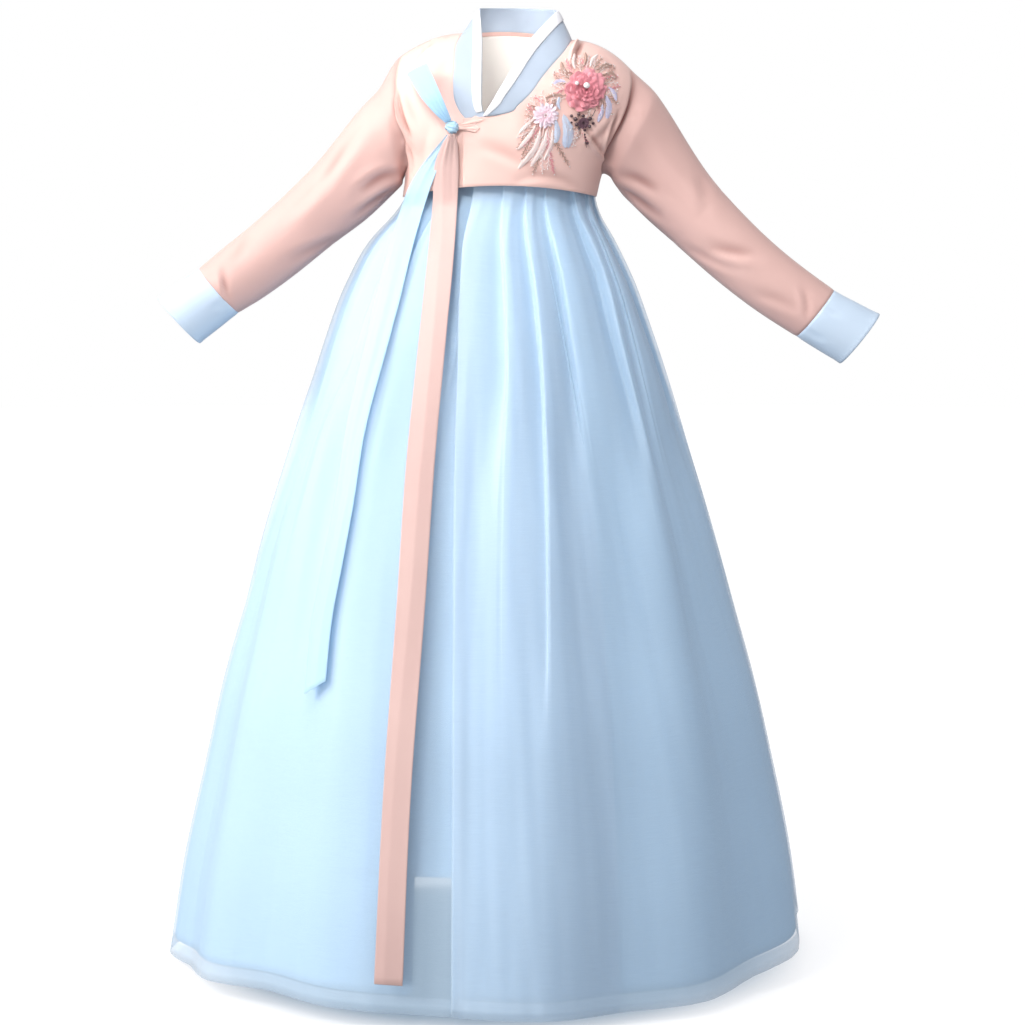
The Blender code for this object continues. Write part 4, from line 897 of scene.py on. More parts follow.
build_cuff("left", SLEEVE_LEFT, around_left)
build_cuff("right", SLEEVE_RIGHT, around_right)

# Collar band and white strip --------------------------------------------------------------------
# The band is blue satin over stiff paper cloth, folded along its free edge and sewn round the neck
# opening. The narrow white strip is starched silk over card, basted on over the band's free edge.

BAND_BULGE = 0.00088
BAND_SHARES = np.linspace(0, 1, 13)
STRIP_SHARES = np.linspace(0.66, 0.985, 8)
STRIP_WALL, STRIP_FULL = 0.0010, 0.0003
NECK_HUB = -0.12
NAPE_REACH, NAPE_ARCH = 0.053, 0.005
TUCKED, SHOWS = 0.44, 0.535  # the band's under end comes out from cover between these fractions
STRIP_FROM = 0.446

white_strip = plain_weave(
    "white strip", (0.80, 0.79, 0.82), (0.84, 0.83, 0.85), (20.0, 50.0), 0.36, (0.0006, 0.3), 0.00008,
    Sheen_Weight=0.2, Sheen_Roughness=0.35, Specular_IOR_Level=0.5, Coat_Weight=0.08,
)


def collar_edge(table, fractions):
    z = table("edge_z", fractions)
    x = table("edge_x", fractions) + LEAN("middle", -z)
    return np.stack([x, table("edge_y", fractions), z], -1)


def nape_line(start, end, count):
    """The band's free edge round the back of the neck, without its two ends."""
    turn = np.linspace(0, math.pi, count)[1:-1]
    middle, half = (start + end) / 2, (start[0] - end[0]) / 2
    x = middle[0] + half * np.cos(turn)
    y = middle[1] + NAPE_REACH * np.sin(turn)
    z = start[2] + (end[2] - start[2]) * turn / math.pi + NAPE_ARCH * np.sin(turn)
    return np.stack([x, y, z], -1)


over_pick = [i for i, fraction in enumerate(OVER_ROWS) if fraction >= COLLAR_END - 1e-9]
under_pick = [i for i, fraction in enumerate(ROWS) if fraction >= UNDER_END][::-1]
neck_pick = np.arange(NECK_END, NECK_START - 1, -1)
runs = []
for walls, line in (
    (over_walls, lambda grid, beside: grid[over_pick, beside]),
    (back_walls, lambda grid, beside: grid[-1 - beside, neck_pick]),
    (under_walls, lambda grid, beside: grid[under_pick, -1 - beside]),
):
    outer, inner = walls
    leave = edge_leave(line(outer, 0), line(inner, 0), line(outer, 1))
    runs.append(line(outer, 0) + 2 * SEAM * leave)
over_run, nape_run, under_run = runs
over_edge = collar_edge(COLLAR_OVER, np.array(OVER_ROWS)[over_pick])
under_edge = collar_edge(COLLAR_UNDER, np.array(ROWS)[under_pick])
nape_edge = nape_line(over_edge[-1], under_edge[0], len(neck_pick))
left_corner, right_corner = (over_run[-1:] + nape_run[:1]) / 2, (nape_run[-1:] + under_run[:1]) / 2
seam_line = np.concatenate([over_run[:-1], left_corner, nape_run[1:-1], right_corner, under_run[1:]])
edge_line = np.concatenate([over_edge, nape_edge, under_edge])

points = seam_line[:, None] + (edge_line - seam_line)[:, None] * BAND_SHARES[:, None]
away = points - np.array([edge_line[:, 0].mean(), 0.0, NECK_HUB])
out_of_cover = np.ones(len(seam_line))
out_of_cover[-len(under_pick) :] = ease((np.array(ROWS)[under_pick] - TUCKED) / (SHOWS - TUCKED))
full = BAND_BULGE * (1 - np.abs(2 * BAND_SHARES - 1) ** 3)
points = points + (out_of_cover[:, None] * full)[..., None] * normals(points, away)
out = normals(points, away)
collar_satin = satin("collar satin", (0.40, 0.47, 0.57), (0.45, 0.52, 0.615), PAINTED_FOLD_SHADE_BLUE, 0.25)
git_band = cloth("collar_band", points, points - WALL * out, collar_satin)
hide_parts("git_band")

covered = np.count_nonzero(np.array(ROWS)[under_pick] < STRIP_FROM)
shown = np.arange(len(seam_line)) < len(seam_line) - covered
strip, strip_out = [], []
for share in STRIP_SHARES:
    at = share * (len(BAND_SHARES) - 1)
    i = min(int(at), len(BAND_SHARES) - 2)
    strip.append(points[shown, i] * (1 - at + i) + points[shown, i + 1] * (at - i))
    strip_out.append(unit(out[shown, i] * (1 - at + i) + out[shown, i + 1] * (at - i)))
strip, strip_out = np.stack(strip, 1), np.stack(strip_out, 1)
across = (STRIP_SHARES - STRIP_SHARES[0]) / (STRIP_SHARES[-1] - STRIP_SHARES[0])
face = strip + 2 * SEAM * strip_out
top = face + (STRIP_WALL + STRIP_FULL * np.sin(math.pi * across))[:, None] * strip_out
dongjeong_strip = cloth("collar_strip", top, face, white_strip)
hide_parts("dongjeong_strip")

# Outer skirt ----------------------------------------------------------------------------------
# Crisp silk organza in joined widths, laid in knife pleats along the top, wrapped once round and
# lapped on the front. Its free edges are turned in once, so the cloth is double and paler there.

SKIRT_TOP, LONGEST = 0.150, 1.37
WRAP_STEP = 0.0025  # how far the under edge lies inside the outer one
UNDER_LAP = 37.6  # degrees of cloth under the wrap edge
TURNED_EDGE, TURNED_HEM, TURN_GAP = 0.016, 0.024, 0.0009

SKIRT = Table(
    "drop half_width half_depth pleat wave",
    (
        (0.150, 0.1330, 0.0950, 0.0022, 0.0),
        (0.200, 0.1405, 0.1010, 0.0032, 0.0),
        (0.235, 0.1428, 0.1050, 0.0070, 0.0),
        (0.255, 0.1520, 0.1170, 0.0100, 0.0005),
        (0.300, 0.1850, 0.1470, 0.0150, 0.001),
        (0.360, 0.2180, 0.1780, 0.0180, 0.003),
        (0.440, 0.2505, 0.2140, 0.0185, 0.006),
        (0.520, 0.2785, 0.2440, 0.0170, 0.009),
        (0.620, 0.3110, 0.2800, 0.0135, 0.012),
        (0.740, 0.3490, 0.3240, 0.0090, 0.014),
        (0.860, 0.3820, 0.3620, 0.0058, 0.015),
        (0.980, 0.4150, 0.4000, 0.0036, 0.016),
        (1.100, 0.4415, 0.4280, 0.0022, 0.017),
        (1.220, 0.4660, 0.4530, 0.0, 0.018),
        (1.380, 0.4900, 0.4750, 0.0, 0.019),
    ),
)
HEM = Table(
    "degrees drop",
    (
        (-180, 1.352), (-130, 1.362), (-84, 1.3785), (-60, 1.366), (-40, 1.360), (-10, 1.367),
        (10, 1.370), (30, 1.369), (48, 1.363), (64, 1.350), (84, 1.334), (120, 1.338), (180, 1.352),
    ),
)


def skirt_point(angle, drop, inset):
    """A point of the skirt's outside, moved in by inset. Angle 0 is the front, and it grows towards
    the wearer's left."""
    half_width = SKIRT("half_width", drop) - inset
    half_depth = SKIRT("half_depth", drop) - inset
    x = LEAN("middle", drop) + half_width * np.sin(angle)
    return np.stack([x, -half_depth * np.cos(angle), -drop + 0 * angle], -1)


def hem_drop(angle):
    turned = (np.degrees(angle) + 180) % 360 - 180
    return HEM("drop", turned)


# Fold edges at these drops, in degrees round from the front, then how strong and how far down.
# The first is the wrap edge, and those past the sides are evened out round the back.
FOLD_DROPS = (0.15, 0.20, 0.30, 0.45, 0.60, 0.80, 1.00, 1.38)
FOLDS = (
    (-19.0, -17.6, -13.0, -10.8, -9.8, -8.4, -7.6, -6.2, 1.1, 0.62),
    (-2.0, 0.4, 4.8, 5.8, 3.8, 2.6, 2.2, 2.0, 0.9, 0.70),
    (13.0, 15.0, 16.8, 17.0, 15.4, 13.0, 11.2, 9.0, 1.2, 1.05),
    (25.0, 27.0, 29.6, 29.2, 29.4, 28.0, 26.0, 24.0, 1.0, 0.66),
    (46.0, 49.0, 53.5, 50.4, 49.6, 48.0, 45.0, 43.0, 1.0, 0.72),
    (68.0, 68.0, 63.5, 60.4, 58.4, 59.0, 60.0, 61.0, 0.8, 0.62),
    (88.0, 87.0, 85.0, 83.0, 82.0, 82.0, 83.0, 84.0, 1.1, 0.70),
    (106.0, 105.0, 104.0, 105.0, 103.0, 104.0, 105.0, 105.0, 1.0, 0.85),
    (124.0, 125.0, 124.0, 122.0, 123.0, 124.0, 125.0, 126.0, 0.9, 0.66),
    (142.0, 141.0, 143.0, 143.0, 141.0, 143.0, 144.0, 145.0, 1.2, 0.92),
    (160.0, 161.0, 161.0, 159.0, 160.0, 161.0, 162.0, 163.0, 0.9, 0.70),
    (178.0, 178.0, 176.0, 178.0, 179.0, 180.0, 180.0, 180.0, 1.1, 0.80),
    (197.0, 198.0, 199.0, 198.0, 197.0, 197.0, 198.0, 198.0, 1.0, 1.00),
    (216.0, 215.0, 216.0, 217.0, 216.0, 215.0, 216.0, 216.0, 0.9, 0.68),
    (235.0, 236.0, 235.0, 233.0, 234.0, 235.0, 236.0, 236.0, 1.1, 0.86),
    (254.0, 253.0, 254.0, 255.0, 254.0, 255.0, 256.0, 257.0, 1.0, 0.72),
    (273.0, 274.0, 275.0, 276.0, 275.0, 276.0, 278.0, 280.0, 1.1, 0.94),
    (290.0, 292.0, 293.0, 292.0, 291.0, 293.0, 297.0, 300.0, 0.9, 0.64),
    (306.0, 307.0, 309.0, 307.6, 304.0, 307.0, 312.0, 316.0, 0.9, 0.60),
    (320.0, 321.0, 324.0, 323.0, 322.6, 324.6, 328.0, 332.0, 1.0, 0.74),
)
KNIFE = (  # across one pleat: where the cloth is, and how deep; it turns back under the next edge
    (0.000, 0.16), (0.012, 0.06), (0.034, 0.01), (0.070, 0.00), (0.130, 0.015), (0.210, 0.06),
    (0.300, 0.13), (0.400, 0.23), (0.500, 0.36), (0.600, 0.51), (0.700, 0.67), (0.790, 0.81),
    (0.870, 0.92), (0.940, 0.99), (0.985, 1.00), (1.002, 0.86), (1.004, 0.60), (1.000, 0.34),
)
RIDGES = (10, 38, 68, 102, 139, 172, 205, 240, 272, 303, 332)  # soft folds at the hem, in degrees
RIDGES_ABOVE = (15.5, 46, 73, 104, 139, 172, 205, 239, 270, 300, 323)  # and at RIDGE_DROP
RIDGE_DROP, RIDGE_END = 0.6, 1.38
PLEAT_FADE = 0.22  # length over which a pleat loses its pressed edge
FULL_PLEAT = math.radians(19)  # a narrower pleat is less deep
DEEPEST = 1.15
CRIMP_DEPTH = 0.00042
CRIMPS = ((37, 1.4, 0.9), (59, -2.1, 0.7), (83, 3.0, 0.5), (121, -4.2, 0.35))  # turns, sway, size
SKIRT_ROWS = SKIRT_TOP + (LONGEST - SKIRT_TOP) * np.linspace(0, 1, 104) ** 1.12


def wave_share(angle, drop):
    """0 on the soft folds' crests and 1 in their troughs."""
    down = np.clip((drop - RIDGE_DROP) / (RIDGE_END - RIDGE_DROP), 0, 1)
    turned = np.degrees(angle) % 360
    phases = np.arange(-1, len(RIDGES) + 1)
    above, below = (
        np.interp(turned, (crests[-1] - 360, *crests, crests[0] + 360), phases)
        for crests in (RIDGES_ABOVE, RIDGES)
    )
    phase = above * (1 - down) + below * down
    return 0.5 - 0.5 * np.cos(2 * math.pi * phase)


def crimp(angle, drop):
    """The slight unevenness of pressed cloth, in metres: long upright streaks."""
    total = 0 * angle
    for turns, sway, size in CRIMPS:
        total = total + size * np.sin(turns * angle + sway * 2 * np.sin(3.1 * drop + turns) + turns)
    return CRIMP_DEPTH * total * np.clip((drop - SKIRT_TOP) / 0.1, 0.2, 1)


def fold_lines():
    """Fold angles and strengths, with the first few again, one turn on, for the lap."""
    rows = [*FOLDS, *((*[at + 360 for at in fold[:8]], *fold[8:]) for fold in FOLDS[:4])]
    tables = [Table("drop degrees", np.stack([FOLD_DROPS, fold[:8]], 1)) for fold in rows]
    return tables, [fold[8] for fold in rows], [fold[9] for fold in rows]


FOLD_TABLES, FOLD_STRENGTHS, FOLD_ENDS = fold_lines()


def pleat_row(drop):
    """Angles and insets of the outer cloth at a drop from the waist, from the wrap edge on."""
    lines = np.radians([table("degrees", drop) for table in FOLD_TABLES])
    angles, insets = [], []
    last = lines[0] + 2 * math.pi + math.radians(UNDER_LAP)
    for k in range(len(lines) - 1):
        gap = lines[k + 1] - lines[k]
        place, deep = np.array(KNIFE).T
        soft = ease((drop - FOLD_ENDS[k + 1] + PLEAT_FADE) / PLEAT_FADE)
        even = np.linspace(0, 1, len(place), endpoint=False)
        own = place * (1 - soft) + even * soft
        rounded = 0.5 - 0.5 * np.cos(2 * math.pi * even)
        depth = deep * (1 - soft) + rounded * soft
        strength = FOLD_STRENGTHS[k + 1] * min(1.0, gap / FULL_PLEAT)
        angle = lines[k] + gap * own
        keep = angle <= last + 1e-9
        angles.append(np.where(keep, angle, last))
        insets.append(SKIRT("pleat", drop) * np.clip(strength, 0, DEEPEST) * depth)
    return np.concatenate(angles), np.concatenate(insets)


def outer_row(part, extra=0.0, back_up=0.0):
    """One row of the outer cloth, with the turned-in strip along its wrap edge first."""
    drop = SKIRT_TOP + (LONGEST - SKIRT_TOP) * part
    angle, inset = pleat_row(drop)
    radius = float(SKIRT("half_width", drop))
    lap = angle - angle[0]
    inset = inset + WRAP_STEP * ease((lap - math.pi) / math.pi)
    strip = angle[0] + np.array([TURNED_EDGE, 0.66 * TURNED_EDGE, 0.33 * TURNED_EDGE, 0.0006]) / radius
    first = slice(len(KNIFE) - 1)  # the first pleat, before its cloth turns back
    strip_inset = np.interp(strip, angle[first], inset[first]) + TURN_GAP * np.array([1, 1, 1, 0.6])
    angle, inset = np.append(strip, angle), np.append(strip_inset, inset)
    drop = SKIRT_TOP + (hem_drop(angle) - SKIRT_TOP) * part - back_up
    inset = inset + SKIRT("wave", drop) * wave_share(angle, drop) + crimp(angle, drop) + extra
    return skirt_point(angle, drop, inset)


def surface_of(points, u, v):
    """Points, faces and UV places of one thin surface."""
    index = np.arange(u.size).reshape(u.shape)
    return points.reshape(-1, 3), quads(index), np.stack([quads(u), quads(v)], -1)


def sheet_mesh(name, points, finish):
    """One surface of thin cloth from a grid of points; UVs are metres along it."""
    lengths = run_lengths(points, 1), run_lengths(points, 0)
    return add_mesh(name, *surface_of(points, *lengths), finish)


def organza(name, colour, alpha, sheen):
    """Sheer stiff silk: paler where its threads bunch, and clearer between them."""
    made, start, shader = new_finish(
        name, Roughness=0.45, Sheen_Weight=sheen, Sheen_Roughness=0.3, Specular_IOR_Level=0.3
    )
    bunched = tuple(min(1, part * 1.06) for part in colour)
    plug(shader.inputs["Base Color"], paint(start, colour, bunched, drift(start, 6.0)))
    cover = fine_threads(start, 0.0008, 0.05, 0.05, slub=0.05)
    plug(shader.inputs["Alpha"], cover + (alpha - 0.025))
    return made


sheer_blue = organza("sheer blue", (0.645, 0.795, 0.94), 0.42, 0.30)

parts = (SKIRT_ROWS - SKIRT_TOP) / (LONGEST - SKIRT_TOP)
grid = [outer_row(part) for part in parts]
for extra, back_up in ((0.5, 0.0), (1.0, 0.3), (1.0, 0.65), (1.0, 1.0)):
    grid.append(outer_row(1.0, extra * TURN_GAP, back_up * TURNED_HEM))
outer_skirt = sheet_mesh("outer_skirt", np.array(grid), sheer_blue)
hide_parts(*(f"chima_outer_{number}" for number in range(1, 7)))

# Skirt lining ---------------------------------------------------------------------------------
# An opaque plain-weave silk under the organza, a little shorter, hung from the same waistband. It is
# lapped at the front too, and left open at the foot for walking.

LINING_LAP = math.radians(8)
LAP_FROM, LAP_STEP = math.radians(288), 0.0016
LINING_VENT, VENT_PANEL = math.radians(7.0), math.radians(24)
VENT_TOP, VENT_CORNER = 1.204, 0.003
LINING_SHORT, LINING_GAP, LINING_FREE, LINING_SLACK = 0.025, 0.0007, 0.19, 0.0010
WRAP_ROOM = ((0, 1), (38, 1), (75, 0), (180, 0), (225, 0.3), (270, 0.65), (315, 0.92), (360, 1))
SKIRT_WALL = 0.0010
SKIRT_LINING_WALL = 0.7 * SKIRT_WALL
LINING_GATHERS, GATHER_DEPTH, GATHER_FADE = 46, 0.0016, 0.28  # small gathers round the top
WAVE_FOLLOW = 0.97  # how nearly it follows the outer cloth's soft folds

blue_lining = plain_weave(
    "blue lining", (0.49, 0.70, 0.885), (0.54, 0.74, 0.91), (3.5, 40.0), 0.55, (0.0008, 0.5), 0.0001,
    Sheen_Weight=0.12, Sheen_Roughness=0.4, Specular_IOR_Level=0.25,
)


def wrap_angle(drop):
    return np.radians(FOLD_TABLES[0]("degrees", drop))


def fold_depth(drop, angle):
    """How deep the outer cloth's pleats are at an angle, eased so that another cloth fits inside."""
    at, depth = pleat_row(drop)
    even = at[0] + np.linspace(0, 2 * math.pi, 720, endpoint=False)
    found = np.interp(even, np.maximum.accumulate(at), depth)
    widest = np.max([np.roll(found, step) for step in range(-3, 4)], axis=0)
    eased = np.mean([np.roll(widest, step) for step in range(-3, 4)], axis=0)
    return np.interp(angle, even, eased, period=2 * math.pi)


def lining_inset(drop, angle=None, folds=0.0):
    """Just inside the outer cloth's folds, following them."""
    inset = SKIRT("pleat", drop) + SKIRT("wave", drop) + WRAP_STEP + SKIRT_WALL + LINING_GAP
    inset = inset + LINING_SLACK * np.clip((drop - LINING_FREE) / 0.1, 0, 1)
    if angle is None:
        return inset
    gathers = np.sin(LINING_GATHERS * angle + 1.7 * np.sin(5 * angle))
    gathers = gathers * np.exp(-(drop - SKIRT_TOP) / GATHER_FADE)
    waves = SKIRT("wave", drop) * WAVE_FOLLOW * (1 - wave_share(angle, drop))
    follow = waves + SKIRT("pleat", drop) - folds
    at, room = zip(*WRAP_ROOM)
    turn = np.degrees(angle - wrap_angle(drop))
    follow = follow + WRAP_STEP * (1 - np.interp(turn, at, room))
    return inset - follow + GATHER_DEPTH * gathers * np.clip((drop - LINING_FREE) / 0.08, 0, 1)


vent = (VENT_TOP - SKIRT_TOP) / (LONGEST - SKIRT_TOP)
rows = [(part, LINING_LAP) for part in np.linspace(0, vent - VENT_CORNER, 52)]
rows += [(part, -LINING_VENT) for part in np.linspace(vent, 1, 14)]
outer = []
for part, past in rows:
    middle = SKIRT_TOP + (LONGEST - LINING_SHORT - SKIRT_TOP) * part
    fixed = np.linspace(0, 2 * math.pi - VENT_PANEL, 300)
    turn = np.concatenate([fixed, np.linspace(fixed[-1], 2 * math.pi + past, 20)[1:]])
    angle = wrap_angle(middle) + turn
    drop = SKIRT_TOP + (hem_drop(angle) - LINING_SHORT - SKIRT_TOP) * part
    lapped = np.clip((turn - LAP_FROM) / (2 * math.pi - LAP_FROM), 0, 1)
    folds = fold_depth(middle, angle)
    outer.append(skirt_point(angle, drop, lining_inset(drop, angle, folds) + LAP_STEP * lapped))
outer = np.array(outer)
out = normals(outer, outer - outer.mean(axis=1, keepdims=True))
skirt_lining = cloth("skirt_lining", outer, outer - SKIRT_LINING_WALL * out, blue_lining)
tiers = [f"{tier}_{number}" for tier in ("top", "middle", "low") for number in range(1, 7)]
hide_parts(*(f"chima_lining_{part}" for part in tiers))

# Waistband ------------------------------------------------------------------------------------
# A plain doubled band of cotton round the chest, under the jacket, that both skirt cloths are
# stitched into along its lower edge.

BAND_TOP, BAND_BOTTOM, BAND_WALL, BAND_GAP = 0.112, 0.166, 0.0018, 0.0013

angle = np.linspace(0, 2 * math.pi, 96, endpoint=False)
inset = lining_inset(np.full_like(angle, SKIRT_TOP)) + SKIRT_WALL + LAP_STEP + BAND_GAP
rings = []
for more in (0, BAND_WALL):
    ring = skirt_point(angle, np.full_like(angle, SKIRT_TOP), inset + more)
    rings.append(np.stack([ring] * 9))
    rings[-1][..., 2] = -np.linspace(BAND_TOP, BAND_BOTTOM, 9)[:, None]
waistband = cloth("waistband", *rings, ivory_cloth, closed=True)
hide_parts("chima_waistband")

# Ribbons and bow ------------------------------------------------------------------------------
# A peach satin ribbon from the outer front is tied to a blue organza one from the inner front. One
# blue loop stands up from the knot, and the two long ends hang down the skirt.

THIN = 0.0008
KNOT_CENTRE = np.array([-0.0960, -0.1145, -0.1351])
KNOT_HALF = (0.0095, 0.0075, 0.0105)
RIBBON_GAP, ROOT_GAP = 0.0011, 0.00075
SKIRT_SHOWS = 0.20  # drop past which the skirt can hold a ribbon off the jacket
MEET_POWER = 30.0
RIBBON_TURN = 0.95
RIBBON_CUT_SLANT = 0.020  # the blue end is cut on a slant
LOOP_TILT = math.radians(28)
LOOP_ROUND = 0.004

PEACH_TAIL = Table(
    "drop middle_x width forward",
    (
        (0.146, -0.0960, 0.010, 0.0094), (0.160, -0.0990, 0.023, 0.0074),
        (0.185, -0.1030, 0.035, 0.0042), (0.241, -0.1055, 0.038, 0.0010),
        (0.327, -0.1117, 0.040, 0.0), (0.427, -0.1209, 0.0405, 0.0), (0.609, -0.1375, 0.041, 0.0),
        (0.802, -0.1495, 0.041, 0.0), (1.072, -0.1680, 0.041, 0.0), (1.322, -0.1787, 0.041, 0.0),
    ),
)
BLUE_TAIL = Table(
    "drop middle_x width forward",
    (
        (0.146, -0.0990, 0.009, 0.0072), (0.175, -0.1175, 0.022, 0.0030),
        (0.215, -0.1385, 0.033, 0.0006), (0.281, -0.1610, 0.036, 0.0), (0.391, -0.1885, 0.036, 0.0),
        (0.450, -0.2030, 0.034, 0.0), (0.571, -0.2322, 0.030, 0.0), (0.684, -0.2490, 0.031, 0.0),
        (0.765, -0.2640, 0.033, 0.0), (0.838, -0.2776, 0.034, 0.0), (0.930, -0.2860, 0.033, 0.0),
    ),
)
BLUE_LOOP = Table(
    "place x y z width open",
    (
        (0, -0.1010, -0.1190, -0.1270, 0.009, 0.0040),
        (1, -0.1120, -0.1215, -0.1120, 0.018, 0.0074),
        (2, -0.1270, -0.1190, -0.0880, 0.027, 0.0081),
        (3, -0.1400, -0.1060, -0.0640, 0.031, 0.0056),
        (4, -0.1465, -0.0950, -0.0520, 0.033, 0.0040),
    ),
)
RIBBON_ROOT = Table(
    "place x z width forward",
    (
        (0, -0.0590, -0.1310, 0.024, 0.0),
        (1, -0.0670, -0.1322, 0.019, 0.0004),
        (2, -0.0770, -0.1337, 0.013, 0.0020),
        (3, -0.0864, -0.1350, 0.008, 0.0044),
    ),
)


def clothes_depth(x, z):
    """How far the clothes stand forward at x and z: the jacket's front, or the skirt past it."""
    middle = LEAN("middle", -z)
    under_hem = np.maximum(z, hem_height(x - middle))
    jacket = torso_depth(x - LEAN("middle", -under_hem), under_hem)
    across = (x - middle) / SKIRT("half_width", -z)
    skirt = SKIRT("half_depth", -z) * np.sqrt(1 - across**2)
    skirt = np.where(-z < SKIRT_SHOWS, 0, skirt)
    return (jacket**MEET_POWER + skirt**MEET_POWER) ** (1 / MEET_POWER)


sheer_ribbon = organza("sheer ribbon", (0.54, 0.77, 0.93), 0.68, 0.2)


def hanging_ribbon(name, table, across, rows, finish, slant, fold):
    """A flat ribbon from the knot down the front. fold gives how far it stands off its bed, from the
    share of its length and the place across it."""
    first, last = table.rows[0, 0], table.rows[-1, 0]
    surface, raised = [], []
    for part in rows:
        drop = first + (last - first) * part
        x = table("middle_x", drop) + across * table("width", drop) * RIBBON_TURN
        z = -drop + slant * across * part**6
        surface.append(np.stack([x, -clothes_depth(x, z) - table("forward", drop), z], -1))
        raised.append(fold(part, across))
    surface = np.array(surface)
    out = normals(surface, (0, -1, 0))
    face = surface + (RIBBON_GAP + np.array(raised))[..., None] * out
    return cloth(name, face + THIN * normals(face, (0, -1, 0)), face, finish)


PINCHES = ((-0.36, 0.0020, 0.05), (-0.12, 0.0028, 0.09), (0.13, 0.0016, 0.04), (0.37, 0.0022, 0.06))


def peach_fold(part, across):
    """One long fold just left of the middle, gathered near the knot, and a slow turn further down."""
    ridge = 0.0030 * math.exp(-part / 0.5) + 0.0011
    middle = -0.05 + 0.10 * math.sin(5.0 * part)
    line = ridge * np.clip(1 - np.abs(across - middle) / 0.5, 0, 1) ** 1.3
    pinch = sum(
        size * math.exp(-part / fade) * np.exp(-(((across - at - 0.4 * part) / 0.07) ** 2))
        for at, size, fade in PINCHES
    )
    turn = 0.0016 * (1 + np.sin(9 * part + 0.6) * across * 2) * min(1, part / 0.1)
    return line + pinch + turn


def blue_fold(part, across):
    pinch = 0.0010 * math.exp(-part / 0.05) * (1 + np.cos(across * 26))
    curl = 0.0016 * (1 + np.sin(7 * part + 2.0) * across * 2) * min(1, part / 0.1)
    return pinch + curl + 0.0006 * (1 + np.cos(across * 12 + 3 * part))


tail_rows = np.linspace(0, 1, 150) ** 1.4
tail_across = np.linspace(-0.5, 0.5, 19)
ribbon_satin = satin(
    "ribbon satin", (0.60, 0.395, 0.365), (0.66, 0.455, 0.415), (0.40, 0.16, 0.12), 0.55
)
peach_tail = hanging_ribbon(
    "peach_ribbon", PEACH_TAIL, tail_across, tail_rows, ribbon_satin, 0.0, peach_fold
)
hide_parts("goreum_peach_tail")
blue_tail = hanging_ribbon(
    "blue_ribbon", BLUE_TAIL, tail_across, tail_rows, sheer_ribbon, RIBBON_CUT_SLANT, blue_fold
)
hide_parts("goreum_blue_tail")

root_rows = []
for s in np.linspace(0, 3, 22):
    x, z, width, forward = (float(RIBBON_ROOT(key, s)) for key in ("x", "z", "width", "forward"))
    across = np.linspace(-0.5, 0.5, 25)
    height = z + width * across
    tip = np.clip(1 - np.abs(np.abs(across) - 0.27) / 0.25, 0, 1) * np.where(across > 0, 0.015, 0.007)
    run = x + (tip - 0.004) * (1 - s / 3) ** 1.6
    body_x = run - LEAN("middle", -height)
    gather = 0.0013 * np.cos(across * 23.3) * (0.35 + 0.65 * s / 3) * np.clip(s, 0, 1)
    depth = torso_depth(body_x, height) + lift(body_x, height) + forward + np.maximum(gather, 0)
    root_rows.append(np.stack([run, -depth, height], -1))
surface = np.array(root_rows)
out = normals(surface, (0, -1, 0))
face = surface + ROOT_GAP * out
peach_root = cloth("ribbon_root", face + THIN * out, face, peach_satin)
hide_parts("goreum_peach_root")

places = np.linspace(0, 4, 34)
middle = np.stack([BLUE_LOOP(key, places) for key in "xyz"], -1)
half_open = np.stack([0 * places, BLUE_LOOP("open", places) / 2, 0 * places], -1)
onward = unit(middle[-1] - middle[-2])
turn = np.linspace(-math.pi / 2, math.pi / 2, 11)[1:-1, None]
fold = middle[-1] + LOOP_ROUND * np.cos(turn) * onward + half_open[-1] * np.sin(turn)
line = np.concatenate([middle - half_open, fold, (middle + half_open)[::-1]])
reach = np.concatenate([places, np.full(len(fold), 4.0), places[::-1]])
width = BLUE_LOOP("width", reach)
level = np.array([math.cos(LOOP_TILT), 0.0, math.sin(LOOP_TILT)])
across = np.linspace(-0.5, 0.5, 15)
points = line[:, None] + (width[:, None] * across)[..., None] * level
out = normals(points, points - middle.mean(axis=0))
pleated = 0.0010 * np.cos(across * 22)[None] * (1 - reach / 4.6)[:, None] ** 1.5
bowed = 0.0012 * (1 - (2 * across) ** 2)[None] * (reach / 4)[:, None]
points = points + (pleated + bowed)[..., None] * out
out = normals(points, points - middle.mean(axis=0))
# The loop's organza is the blue ribbon's, painted darker and less clear as the shade on the loop.
shaded_sheer_loop = organza("shaded sheer loop", (0.44, 0.69, 0.91), 0.82, 0.1)
blue_loop = cloth("ribbon_loop", points, points - THIN * 0.6 * out, shaded_sheer_loop)
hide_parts("goreum_blue_loop")


def ball(centre, half, levels, around, swell=None):
    """Grid of a closed rounded body from pole to pole; swell adds to its radius by (tilt, turn)."""
    tilt = np.linspace(0.001, math.pi - 0.001, levels)[:, None]
    turn = np.linspace(0, 2 * math.pi, around, endpoint=False)[None]
    way = np.stack(
        [np.sin(tilt) * np.cos(turn), np.sin(tilt) * np.sin(turn), np.cos(tilt) + 0 * turn], -1
    )
    size = 1 + (0 if swell is None else swell(tilt, turn))
    return np.array(centre) + way * np.array(half) * np.asarray(size)[..., None]


def joined(name, walls, finish):
    """Several walls or grids in one mesh."""
    points, faces, places, count = [], [], [], 0
    for each in walls:
        points.append(each[0])
        faces.append(each[1] + count)
        places.append(each[2])
        count += len(each[0])
    return add_mesh(name, *(np.concatenate(each) for each in (points, faces, places)), finish)


